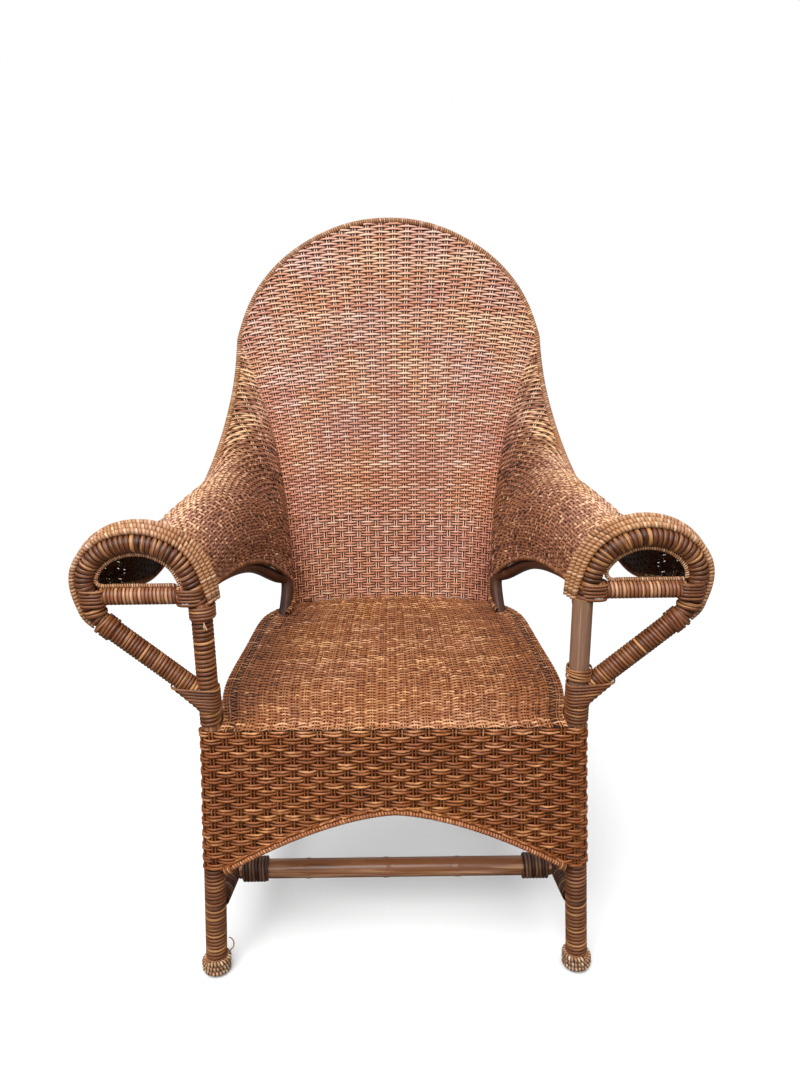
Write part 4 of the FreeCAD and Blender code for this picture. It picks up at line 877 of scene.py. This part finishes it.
# Woven apron: rows round the front legs, cut off along the arch.
apron = {"pairs": 30, "amplitude": 0.0019, "jitter": 0.00018, "tuck": 0.0, "pitch": 0.00483, "depth": 0.225,
         "apart": 0.0044, "skip": 3, "pale": -0.16, "top": 0.3937, "radius": 0.01405, "turn": 100,
         "low": 0.1810, "mid": 0.2735, "power": 1.6, "past": 0.002, "clear": 0.001, "core": 0.0018,
         "coreDrop": 0.0035}
apronTones = {"base": 0.43, "top": 0.26, "topBand": (0.372, 0.392), "side": -0.10, "sideBand": (0.16, 0.25),
              "glintsAndGaps": (), "over": 0.08, "spread": 0.09}
archHalf = float(legX(apron["low"])) - chair["legRadius"]


def archHeight(x):
    share = np.minimum(1, np.abs(x) / archHalf) ** apron["power"]
    return apron["mid"] - (apron["mid"] - apron["low"]) * share


apronMarks = stakeMarks(apron["pairs"])
apronHalf = halfSpan + apron["radius"] * math.radians(apron["turn"])
apronAcross = (apronMarks / apron["pairs"] * 2 - 1) * apronHalf
apronDowns = np.linspace(0, apron["top"] - apron["low"] + apron["past"], 91)
apronShares = np.linspace(0, 1, len(apronDowns))
apronGrid = np.empty((len(apronMarks), len(apronDowns), 3))
for j, down in enumerate(apronDowns):
    height = apron["top"] - down
    flat = np.clip(apronAcross, -halfSpan, halfSpan) / halfSpan * float(legX(height))
    angle = np.clip(np.abs(apronAcross) - halfSpan, 0, None) / apron["radius"]
    apronGrid[:, j, 0] = flat + np.sign(apronAcross) * apron["radius"] * np.sin(angle)
    apronGrid[:, j, 1] = -apron["radius"] * np.cos(angle)
    apronGrid[:, j, 2] = height
apronPanel = wovenPanel(apronGrid, apronMarks, (0, -1, 0))
splayed = apronAcross / halfSpan * legX(archHeight(apronAcross))
floorAt = np.where(np.abs(splayed) < archHalf, archHeight(splayed) + apron["clear"], apron["low"])
offArch = 10 * (apronGrid[:, :, 2] < floorAt[:, None])
apronPanel["reach"] = apronDowns + offArch


# A painted highlight on the top rows, where the weave rolls over the front rail; the apron is also darker
# towards the legs.
def apronTint(points, wave):
    top = blend(points[:, 2], *apronTones["topBand"])
    side = blend(np.abs(points[:, 0]), *apronTones["sideBand"])
    return tinted(apronTones["base"] + apronTones["top"] * top + apronTones["side"] * side, points, wave,
                  apronTones)


sweptPiece("apron_weave", "woven_apron", "woven_cane",
           weaveRows(apronPanel, doubleRows(0.0, apron["depth"], apron["pitch"], 0), apron, apronTint),
           {"Width": 0.0043, "Thickness": 0.0023, "Sides": 6}, "apron_cane")
shortGrid = apronGrid.copy()
shortGrid[:, :, 2] = apron["top"] - (apron["top"] - floorAt)[:, None] * apronShares
coreGrid = shortGrid.copy()
coreGrid[:, :, 2] -= apron["coreDrop"] * apronShares
shadeSkinPiece("apron_shade_skin", "woven_apron", {**apronPanel, "grid": coreGrid}, apron["core"], every=3)
sweptPiece("apron_stakes", "woven_apron", "woven_cane",
           stakeRods({**apronPanel, "grid": shortGrid}, apron, apronTint),
           {"Width": 0.0026, "Thickness": 0.0022, "Sides": 6}, "apron_cane")
print("woven panels ready")

# Hoop and borders: rods wrapped with fine cane.
hoopWrap = {"Pole Radius": 0.0040, "Width": 0.0042, "Thickness": 0.0016, "Pitch": 0.0040, "Steps": 8.0,
            "Sides": 4, "Pole Sides": 8}
borderWrap = {**hoopWrap, "Pole Radius": 0.0033, "Width": 0.0043, "Thickness": 0.0015, "Pitch": 0.0042}
tieWrap = {**borderWrap, "Pole Radius": 0.0056, "Width": 0.0030, "Pitch": 0.0029, "Steps": 12.0}
edges = {"armEnd": armSpans - 0.05, "step": 0.006, "archIn": 0.0028, "archDown": 0.0046, "slope": 0.0003,
         "tie": 0.011}
armEdge = splineAt(armLines[-1], np.linspace(0, edges["armEnd"], 60))
backEdge = splineAt(backLines[-1], np.linspace(0, backSpans, 120))
hoopPath = np.concatenate([mirrored(armEdge)[:0:-1], backEdge[:-1], armEdge])
woundPiece("hoop_wrapped", "hoop", "wrapped_rods", evenly(hoopPath, edges["step"]), hoopWrap, "bead_cane")
borderPath = np.concatenate([[fromShares(share) for share in borderFootShares],
                             splineAt(armLines[0], np.linspace(1, edges["armEnd"], 9))])
pair(woundPiece, "armhole_border_wrapped_*", "armhole_border_*", "wrapped_rods",
     evenly(smooth(borderPath, 80), edges["step"]), borderWrap, "wrap_cane")
archX = np.linspace(-archHalf + edges["archIn"], archHalf - edges["archIn"], 61)
archSlope = (archHeight(archX + edges["slope"]) - archHeight(archX - edges["slope"])) / (2 * edges["slope"])
archDown = unit(np.stack([archSlope, 0 * archX, 0 * archX - 1], axis=1)) * edges["archDown"]
archPath = np.stack([archX, 0 * archX - apron["radius"], archHeight(archX)], axis=1) + archDown
woundPiece("apron_border_wrapped", "apron_border", "wrapped_rods", evenly(archPath, edges["step"]),
           {**borderWrap, "Thickness": 0.0008}, "rod_cane")
tieEnd = archPath[0] - unit(archPath[0] - archPath[3]) * edges["tie"]
pair(woundPiece, "border_tie_*", "apron_border_tie_*", "wrapping_cane",
     mirrored(np.linspace(archPath[0], tieEnd, 6)), tieWrap, "wrap_cane")

# Arm fronts: bow, bar and brace.
bowWrap = {"Pole Radius": 0.0106, "Width": 0.0060, "Thickness": 0.0018, "Pitch": 0.0062, "Steps": 20.0,
           "Sides": 6, "Pole Sides": 16}
barWrap = {"Pole Radius": 0.0103, "Width": 0.0046, "Thickness": 0.0016, "Pitch": 0.0048, "Steps": 18.0,
           "Sides": 6, "Pole Sides": 14}
braceWrap = {"Pole Radius": 0.0124, "Width": 0.0046, "Thickness": 0.0017, "Pitch": 0.0047, "Steps": 20.0,
             "Sides": 6, "Pole Sides": 16}
front = {"bowFrom": 0.33, "barRise": 0.25, "barFrom": 0.2490, "barTo": 0.3675, "braceOut": 1.036,
         "braceRise": -0.12, "braceUp": 0.039, "braceFrom": 0.06, "step": 0.004}
bowTail = [(0.3748, 0, 0.5580), (0.3712, 0, 0.5520), (0.3672, 0, 0.5465), (0.3630, 0, 0.5420)]
bowPath = np.concatenate([splineAt(bowPoles, np.linspace(front["bowFrom"], bowSpans, 60)), bowTail])
bowPath = evenly(smooth(bowPath, 200), front["step"])
barHeight = chair["postTop"] + front["barRise"] * chair["bowRise"]
barPath = np.linspace((front["barFrom"], 0, barHeight), (front["barTo"], 0, barHeight), 13)
braceTop = np.array([halfSpan + front["braceOut"] * chair["bowWidth"], 0,
                     chair["postTop"] + front["braceRise"] * chair["bowRise"]])
braceFoot = np.array([halfSpan, 0, chair["seatHeight"] + front["braceUp"]])
bracePath = np.linspace(braceFoot + (braceTop - braceFoot) * front["braceFrom"], braceTop, 30)
pair(woundPiece, "bow_wrapped_*", "arm_bow_*", "wrapped_rods", bowPath, bowWrap, "bow_cane")
pair(woundPiece, "bar_wrapped_*", "arm_bar_wrap_*", "wrapping_cane", barPath, barWrap, "bar_cane")
pair(woundPiece, "brace_wrapped_*", "arm_brace_wrap_*", "wrapping_cane", bracePath, braceWrap, "wrap_cane")

# Three fine rods round the outside of the bow.
rodWrap = {"Pole Radius": 0.0032, "Width": 0.0050, "Thickness": 0.0013, "Pitch": 0.0047, "Steps": 10.0,
           "Sides": 6, "Pole Sides": 8}
rodTail = np.array([(-0.0030, 0, -0.0080), (-0.0080, 0, -0.0150), (-0.0145, 0, -0.0210)])
# The rods are paler at the outer top of the bow: partly wear and partly painted light.
rodTones = {"plain": 0.35, "pale": 0.26, "paleOut": (0.255, 0.30), "paleUp": (0.575, 0.62)}
for number in (1, 2, 3):
    rod = rodPath(np.linspace(rods["from"], bowSpans - rods["endShort"], 90), number - 1)[0]
    rod = evenly(smooth(np.concatenate([rod[::-3][::-1], rod[-1:] + rodTail]), 120), front["step"])
    pale = blend(rod[:, 0], *rodTones["paleOut"]) * blend(rod[:, 2], *rodTones["paleUp"])
    pair(woundPiece, f"bead_{number}_wrapped_*", f"arm_bead_{number}_*", "wrapped_rods", rod, rodWrap,
         "bead_cane", tint=rodTones["plain"] + rodTones["pale"] * pale)

# One fine rod inside the bow's opening. It lies on the bar and turns up at the same hand on both arms.
innerWrap = {"Pole Radius": 0.0024, "Width": 0.0030, "Thickness": 0.0008, "Pitch": 0.0030, "Steps": 8.0,
             "Sides": 4, "Pole Sides": 8}
inner = {"under": 0.01435, "above": 0.0133, "low": (1.55, 6.75), "right": (1.55, 6.98), "left": (1.10, 6.75)}
innerShares = {"right": [0.97, 0.8, 0.45, 0.16, 0.06], "left": [0.94, 0.84, 0.55, 0.2, 0.03]}


def loopPath(first, last):
    here, outward = bowSide(np.linspace(first, last, 40))
    return here - outward * inner["under"]


barTop = barHeight + inner["above"]
lowFrom, lowTo = loopPath(*inner["low"])[[0, -1], 0]
for hand, mirror in hands:
    loop = loopPath(*inner[hand])
    low = [(lowFrom + share * (lowTo - lowFrom), 0, barTop) for share in innerShares[hand]]
    if mirror:
        whole = low[::-1] + list(loop[::-4]) + [loop[0]]
    else:
        whole = low + list(loop[::4]) + [loop[-1]]
    woundPiece("inner_bead_wrapped_" + hand, "arm_inner_bead_" + hand, "wrapped_rods",
               evenly(smooth(whole, 120), front["step"]), innerWrap, "bead_cane", mirror)

# Wrapped legs and stretchers, and the heavy cane coiled round the feet.
legWrap = {"Pole Radius": 0.0135, "Width": 0.0055, "Thickness": 0.0022, "Pitch": 0.0060, "Steps": 20.0,
           "Sides": 6, "Pole Sides": 16}
sideWrap = {**legWrap, "Pole Radius": 0.0130, "Pitch": 0.0064, "Width": 0.0060}
endWrap = {**legWrap, "Pole Radius": 0.0165, "Pitch": 0.0049, "Width": 0.0047, "Thickness": 0.0030}
coilWrap = {"Pole Radius": 0.0030, "Width": 0.0042, "Thickness": 0.0012, "Pitch": 0.0043, "Steps": 8.0,
            "Sides": 5, "Pole Sides": 8}
coil = {"turns": 2.5, "low": 0.0046, "rise": 0.0078, "radius": 0.0172, "start": 2}
legs = {"wrap": (0.0045, 0.1798), "postWrap": (0.400, 0.562), "pole": (0.0040, 0.5690),
        "rightRadius": 0.0130, "rightTint": 0.20, "leftRadius": 0.0120}
pair(woundPiece, "leg_wrapped_*", "front_leg_wrap_*", "wrapping_cane", legPath(*legs["wrap"]), legWrap,
     "wrap_cane")
woundPiece("post_wrapped_left", "post_wrap_left", "wrapping_cane", legPath(*legs["postWrap"]),
           {**legWrap, "Pole Radius": 0.0121}, "wrap_cane", True)
coilAngles = np.linspace(0, coil["turns"] * 2 * math.pi, 90)
coilHeights = coil["low"] + coil["rise"] * coilAngles / (2 * math.pi)
coilPath = np.stack([legX(coilHeights) + coil["radius"] * np.cos(coilAngles + coil["start"]),
                     coil["radius"] * np.sin(coilAngles + coil["start"]), coilHeights], axis=1)
pair(woundPiece, "foot_coil_*", "front_foot_coils", "wrapping_cane", coilPath, coilWrap, "coil_cane")


# Bare poles, some with a few swollen joints.
pole = {"step": 0.008, "jointedStep": 0.003, "joint": 0.06, "jointHalf": 0.0035, "sides": 18}


def polePiece(name, node, points, radius, look, mirror=False, joints=(), tint=0.5):
    points = evenly(np.asarray(points, float), pole["jointedStep"] if joints else pole["step"])
    lengths = lengthsAlong(points)
    swell = np.ones(len(points))
    for joint in joints:
        swell = swell + pole["joint"] * np.exp(-((lengths - joint * lengths[-1]) / pole["jointHalf"]) ** 2)
    made = strand(points, sideways(points), chance.uniform(0, 1), swell, tint)
    sweptPiece(name, node, "cane_poles", [made],
               {"Width": 2 * radius, "Thickness": 2 * radius, "Sides": pole["sides"]}, look, mirror)


frontPole = legPath(*legs["pole"])
polePiece("front_leg_pole_right", "front_leg_right", frontPole, legs["rightRadius"], "grey_cane",
          tint=legs["rightTint"])
polePiece("front_leg_pole_left", "front_leg_left", frontPole, legs["leftRadius"], "pole_cane", True)

# Arm rails under the armhole borders: places on the arm's lower edge, and how far out of it the rail lies.
armRail = {"radius": 0.0108, "below": 0.00824, "footPlace": 0.87, "footIn": -0.0020, "footRise": 0.3754,
           "tint": 0.4}
railAsides = ((5.0, 0.0170), (4.0, 0.0165), (3.0, 0.0165), (2.0, 0.0125), (1.4, 0.0060))
railPoints = [splineAt(armLines[0], place)[0] + (aside, 0, -armRail["below"]) for place, aside in railAsides]
railFoot = splineAt(seatEdgePoles, armRail["footPlace"] * (len(seatEdge) - 1))[0]
railPoints.append(railFoot + (armRail["footIn"], 0, armRail["footRise"]))
railPoints.insert(0, (halfSpan, chair["legRadius"], railPoints[0][2]))
# The rail's dark look is painted shade: it lies in the shadow under the arm's weave.
pair(polePiece, "arm_rail_pole_*", "arm_rail_*", smooth(railPoints, 60), armRail["radius"], "dark_pole",
     tint=armRail["tint"])

# Rear legs, drawn as in the CAD source: from the floor to a short post behind the back.
rear = {"place": 6.6, "foot": (0.205, 0.560, 0), "footLift": 0.0043, "railDrop": 0.0116, "nudge": 0.02,
        "kneeBehind": 0.0213, "postUps": (0.55, 1.1), "postBehind": 0.0154, "radius": 0.0120,
        "joints": (0.25, 0.62), "tint": 0.55, "railRadius": 0.0090, "railTint": 0.3}


def skinAt(place, up):
    about = np.array([-rear["nudge"], 0, rear["nudge"]])
    points = netGrid(backLines, place + about, up + about)
    return points[1, 1], unit(np.cross(points[2, 1] - points[0, 1], points[1, 2] - points[1, 0]))


railHeight = chair["seatHeight"] - rear["railDrop"]
kneeSkin, kneeOut = skinAt(rear["place"], 0.0)
knee = kneeSkin - unit(kneeOut * (1, 1, 0)) * rear["kneeBehind"]
knee[2] = railHeight
rearPoints = [np.array(rear["foot"]), (rear["foot"] + knee) / 2, knee]
for up in rear["postUps"]:
    here, outward = skinAt(rear["place"], up)
    rearPoints.append(here - outward * rear["postBehind"])
rearPath = smooth(rearPoints, 80)
rearPath[0, 2] = rear["footLift"]
rearRail = splineAt(backLines[0], np.linspace(0, backSpans, 61))
rearRail[:, 2] = railHeight
pair(polePiece, "rear_leg_pole_*", "rear_leg_*", rearPath, rear["radius"], "dark_pole",
     joints=rear["joints"], tint=rear["tint"])
polePiece("seat_rail_rear_pole", "seat_rail_rear", rearRail, rear["railRadius"], "pole_cane",
          tint=rear["railTint"])

# Low stretchers: one on each side, and one across with wrapped ends.
cross = {"height": 0.108, "back": 0.080, "radius": 0.0140, "inset": 0.012, "joints": (0.22, 0.47, 0.70),
         "tint": 0.32, "endSeat": 0.0145, "endLean": 0.019, "endLength": 0.037, "sideFrom": 0.015,
         "sideTo": 0.012}
sideFront = np.array([float(legX(cross["height"])), 0, cross["height"]])
sideBack = rearPath[np.argmin(np.abs(rearPath[:, 2] - cross["height"]))].copy()
sideBack[2] = cross["height"]
sideAlong = unit(sideBack - sideFront)
sidePath = np.linspace(sideFront + sideAlong * cross["sideFrom"], sideBack - sideAlong * cross["sideTo"], 40)
pair(woundPiece, "side_stretcher_wrapped_*", "side_stretcher_wrap_*", "wrapping_cane", sidePath, sideWrap,
     "dark_cane")
crossReach = sideFront[0] + sideAlong[0] * (cross["back"] / sideAlong[1])
crossEnd = np.array([crossReach - cross["inset"], cross["back"], cross["height"]])
polePiece("cross_stretcher_pole", "cross_stretcher", np.linspace(mirrored(crossEnd), crossEnd, 60),
          cross["radius"], "pole_cane", joints=cross["joints"], tint=cross["tint"])
woundInset = (cross["endSeat"] + chair["fit"] + cross["endLean"] * abs(sideAlong[0])) / sideAlong[1]
endStart = np.array([crossReach - woundInset, cross["back"], cross["height"]])
endPath = np.linspace(endStart, endStart - (cross["endLength"], 0, 0), 12)
pair(woundPiece, "stretcher_end_wrapped_*", "cross_stretcher_wrap_*", "wrapping_cane", endPath, endWrap,
     "dark_cane")
print("frame poles ready")


# Lashings: closed turns of cane, each an oval about a centre, squarer as its last value rises.
def turnAt(center, reach, depth, along, tone, tint, square):
    angles = np.linspace(0, 2 * math.pi, 40, endpoint=False)
    cosine, sine = np.cos(angles), np.sin(angles)
    a = (np.sign(cosine) * np.abs(cosine) ** (2 / square))[:, None]
    b = (np.sign(sine) * np.abs(sine) ** (2 / square))[:, None]
    along, deep = unit(np.asarray(along, float)), np.array([0, 1, 0])
    points = np.asarray(center, float) + a * reach * along + b * depth * deep
    return strand(points, unit(a * depth * along + b * reach * deep), tone, 1.0, tint, 0.0, True)


# Turns one after the other: a turn may lean by chance, and has its own tone and tint.
def lashing(values):
    turns = []
    for number in range(values["count"]):
        center = np.array(values["first"]) + number * np.array(values["step"])
        along = (1, 0, chance.uniform(*values["leans"]) if "leans" in values else values["lean"])
        tone = values["tone"] if "tone" in values else chance.uniform()
        tint = values["tint"] if "tint" in values else chance.uniform(*values["tints"])
        turns.append(turnAt(center, values["reach"], values["depth"], along, tone, tint, values["square"]))
    return turns


lashValues = {"Width": 0.0044, "Thickness": 0.0020, "Sides": 6}
tipValues = {"Width": 0.0050, "Thickness": 0.0018, "Sides": 6}
strap = {"middles": (0.2535, 0.3745), "turns": 5, "gap": 0.0046, "uneven": 0.0003, "reach": 0.0160,
         "depth": 0.0142, "tints": (0.25, 0.6), "square": 2.8}
tip = {"turns": 4, "start": 0.0035, "gap": 0.0047, "uneven": 0.06, "reach": 0.0144, "depth": 0.0143,
       "tints": (0.3, 0.55), "square": 2.2}
tipBand = {"count": 2, "first": (0.3758, 0, 0.5612), "step": (-0.0022, 0, -0.0044), "lean": -0.2,
           "reach": 0.0140, "depth": 0.0138, "tint": 0.8, "square": 2.0}
web = {"turns": 7, "high": 0.0570, "gap": 0.0046, "outer": 0.2508, "outerAt": 0.4219, "slope": 1.159,
       "postReach": 0.0150, "depth": 0.0152, "lean": 0.10, "topTint": 0.72, "tints": (0.3, 0.55),
       "square": 3.2}
postBand = {"count": 7, "first": (halfSpan, 0, 0.4000), "step": (0, 0, 0.0046), "lean": 0.02,
            "reach": 0.0146, "depth": 0.0146, "tints": (0.3, 0.6), "square": 2.0}
looseBand = {"count": 4, "first": (halfSpan, 0, 0.4600), "step": (0, 0, 0.0042), "leans": (-0.22, 0.12),
             "reach": 0.0160, "depth": 0.0158, "tone": 1.0, "tints": (0.55, 0.85), "square": 2.0}
topBand = {"count": 4, "first": (0.2395, 0.001, 0.5512), "step": (0, 0, 0.0043), "lean": -0.06,
           "reach": 0.0160, "depth": 0.0154, "tints": (0.35, 0.75), "square": 2.4}
straps = []
for middle in strap["middles"]:
    for number in range(strap["turns"]):
        height = barHeight + (number - strap["turns"] // 2) * strap["gap"]
        center = (middle, 0, height + chance.normal(0, strap["uneven"]))
        straps.append(turnAt(center, strap["reach"], strap["depth"], (1, 0, 0), chance.uniform(),
                             chance.uniform(*strap["tints"]), strap["square"]))
braceUp = unit(braceTop - braceFoot)
braceSide = np.array([-braceUp[2], 0, braceUp[0]])
tipLash = []
for number in range(tip["turns"]):
    center = braceTop - braceUp * (tip["start"] + tip["gap"] * number)
    side = braceSide + chance.normal(0, tip["uneven"], 3) * (1, 0, 1)
    tipLash.append(turnAt(center, tip["reach"], tip["depth"], side, chance.uniform(),
                          chance.uniform(*tip["tints"]), tip["square"]))
tipLash += lashing(tipBand)
webLash = []
for number in range(web["turns"]):
    height = chair["seatHeight"] + web["high"] - web["gap"] * number
    outer = max(web["outer"] + (height - web["outerAt"]) * web["slope"], halfSpan + web["postReach"])
    left = halfSpan - web["postReach"]
    tone = chance.uniform()
    tint = web["topTint"] if number == 0 else chance.uniform(*web["tints"])
    webLash.append(turnAt(((left + outer) / 2, 0, height), (outer - left) / 2, web["depth"],
                          (1, 0, web["lean"]), tone, tint, web["square"]))
postLash = lashing(postBand) + lashing(looseBand)
topLash = lashing(topBand)
pair(sweptPiece, "bar_straps_*", "", "wrapping_cane", straps, lashValues, "lash_cane")
pair(sweptPiece, "brace_tip_lashing_*", "", "wrapping_cane", tipLash, tipValues, "lash_cane")
sweptPiece("brace_foot_lashing_right", "", "wrapping_cane", webLash + postLash, lashValues, "lash_cane")
sweptPiece("brace_foot_lashing_left", "", "wrapping_cane", webLash, lashValues, "lash_cane", True)
sweptPiece("post_top_lashing_left", "", "wrapping_cane", topLash, lashValues, "lash_cane", True)

# Frayed ends, and one loose cane that curls at the left foot.
frayValues = {"Width": 0.0016, "Thickness": 0.0010, "Sides": 4}
curlValues = {"Width": 0.0018, "Thickness": 0.0012, "Sides": 5}
fray = {"spread": 0.5, "bend": 0.5, "outward": (0.2, -1, 0.3), "tint": 0.7}
curl = {"x": 0.2385, "y": -0.004, "z": 0.0490, "reach": 0.0060, "rise": 0.0100, "angles": (-1.2, 1.7),
        "foot": [(0.2420, 0.003, 0.024), (0.2385, 0, 0.034)], "tint": 0.25}


def frayed(start, direction, count, length):
    step = np.linspace(0, 1, 6)[:, None]
    strands = []
    for _ in range(count):
        bend = chance.normal(0, fray["spread"], 3)
        points = start + step * length * unit(np.array(direction)) + step**2 * bend * length * fray["bend"]
        strands.append(strand(points, fray["outward"], chance.uniform(), 1.0, fray["tint"]))
    return strands


# Each fray: its name and slot, its start, direction, number of ends and their length, and its hand.
frays = (
    ("post_top_fray_left", "wrapping_cane", (0.235, -0.0160, 0.5480), (-0.2, -0.3, -1), 4, 0.009, True),
    ("loose_turns_fray_right", "wrapping_cane", (0.2265, -0.004, 0.470), (-0.6, -0.2, 1), 3, 0.008, False),
    ("inner_bead_fray_left", "wrapped_rods", (0.2640, -0.002, barTop + 0.001), (-0.7, -0.3, 0.9), 5, 0.007,
     True),
)
for name, slotName, start, direction, count, length, mirror in frays:
    sweptPiece(name, "", slotName, frayed(start, direction, count, length), frayValues, "pale_cane", mirror)
curlAngles = np.linspace(*curl["angles"], 16)
curlPath = np.stack([curl["x"] - curl["reach"] * np.cos(curlAngles), curl["y"] + 0 * curlAngles,
                     curl["z"] + curl["rise"] * np.sin(curlAngles)], axis=1)
curlPath = smooth(np.concatenate([curl["foot"], curlPath]), 40)
curlStrand = strand(curlPath, (0, -1, 0), tint=curl["tint"])
sweptPiece("loose_cane_left_foot", "", "wrapping_cane", [curlStrand], curlValues, "pale_cane", True)

# CAD nodes that no piece replaces: poles under the weave and the wraps, and the rear stretcher.
for node in ("seat_rail_front", "seat_rail_side_right", "seat_rail_side_left", "seat_cross_pole_front",
             "seat_cross_pole_rear", "side_stretcher_right", "side_stretcher_left", "rear_stretcher",
             "arm_bar_right", "arm_bar_left", "arm_brace_right", "arm_brace_left"):
    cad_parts[node].material_slots[0].material = canes["plain_pole"]
print("frame dressed")

# Camera.
view = {"focal": 37.35, "sensor": 36, "place": (0, -1.27877, 0.9456), "pitch": 16.5, "roll": 0.75,
        "shiftX": 0.01125}
camera = placed("camera", bpy.data.cameras.new("camera"))
camera.data.sensor_fit = "HORIZONTAL"
camera.data.sensor_width = view["sensor"]
camera.data.lens = view["focal"]
camera.data.shift_x = view["shiftX"]
camera.location = view["place"]
pitchTurn = Matrix.Rotation(math.radians(90 - view["pitch"]), 4, "X")
rollTurn = Matrix.Rotation(math.radians(-view["roll"]), 4, "Z")
camera.rotation_euler = (pitchTurn @ rollTurn).to_euler()
scene.camera = camera

# Floor: it fades to plain white away from the chair, and reflects a little warm grey on to it.
studio = {"floorHalf": 9, "floorBounce": (0.14, 0.13, 0.12, 1), "white": (1, 1, 1, 1), "fadeFrom": 0.5,
          "fadeTo": 1.6, "lampPower": 78, "lampSize": 2.2, "lampPlace": (-0.7, -1.9, 2.6), "lampPitch": 38,
          "lampTurn": -18, "skyLow": -0.2, "skyHigh": 0.9, "skyDim": 0.12, "skyBright": 1.25}
half = studio["floorHalf"]
floorMesh = bpy.data.meshes.new("floor")
corners = [(-half, -half, 0), (half, -half, 0), (half, half, 0), (-half, half, 0)]
floorMesh.from_pydata(corners, [], [(0, 1, 2, 3)])
floor = placed("floor", floorMesh)
paint = bpy.data.materials.new("floor")
paint.use_nodes = True
tree = paint.node_tree
away = vectorCalc(tree, "LENGTH", {0: put(tree, "ShaderNodeTexCoord")["Object"]})["Value"]
cameraRay = put(tree, "ShaderNodeLightPath")["Is Camera Ray"]
color = mixColors(tree, cameraRay, studio["floorBounce"], studio["white"])
plain = fill(tree, tree.nodes["Principled BSDF"],
             {"Base Color": color, "Roughness": 1, "Specular IOR Level": 0})
glow = put(tree, "ShaderNodeEmission", {"Color": color})
faded = put(tree, "ShaderNodeMixShader", {0: ranged(tree, away, studio["fadeFrom"], studio["fadeTo"]),
                                          1: plain[0], 2: glow[0]})
fill(tree, tree.nodes["Material Output"], {0: faded[0]})
floorMesh.materials.append(paint)

# One large lamp, and a sky that is brighter above than below.
light = bpy.data.lights.new("softbox", "AREA")
light.energy = studio["lampPower"]
light.size = studio["lampSize"]
lamp = placed("softbox", light)
lamp.location = studio["lampPlace"]
lamp.rotation_euler = (math.radians(studio["lampPitch"]), 0, math.radians(studio["lampTurn"]))
world = bpy.data.worlds.new("studio")
scene.world = world
world.use_nodes = True
tree = world.node_tree
height = put(tree, "ShaderNodeSeparateXYZ", {0: put(tree, "ShaderNodeTexCoord")["Generated"]})["Z"]
sky = put(tree, "ShaderNodeMapRange",
          {"Value": height, "From Min": studio["skyLow"], "From Max": studio["skyHigh"],
           "To Min": studio["skyDim"], "To Max": studio["skyBright"]}, interpolation_type="SMOOTHSTEP")[0]
lit = fill(tree, tree.nodes["Background"], {0: studio["white"], 1: sky})
seen = put(tree, "ShaderNodeBackground", {0: studio["white"]})
cameraRay = put(tree, "ShaderNodeLightPath")["Is Camera Ray"]
pick = put(tree, "ShaderNodeMixShader", {0: cameraRay, 1: lit[0], 2: seen[0]})
fill(tree, tree.nodes["World Output"], {0: pick[0]})
scene.view_settings.view_transform = "Standard"
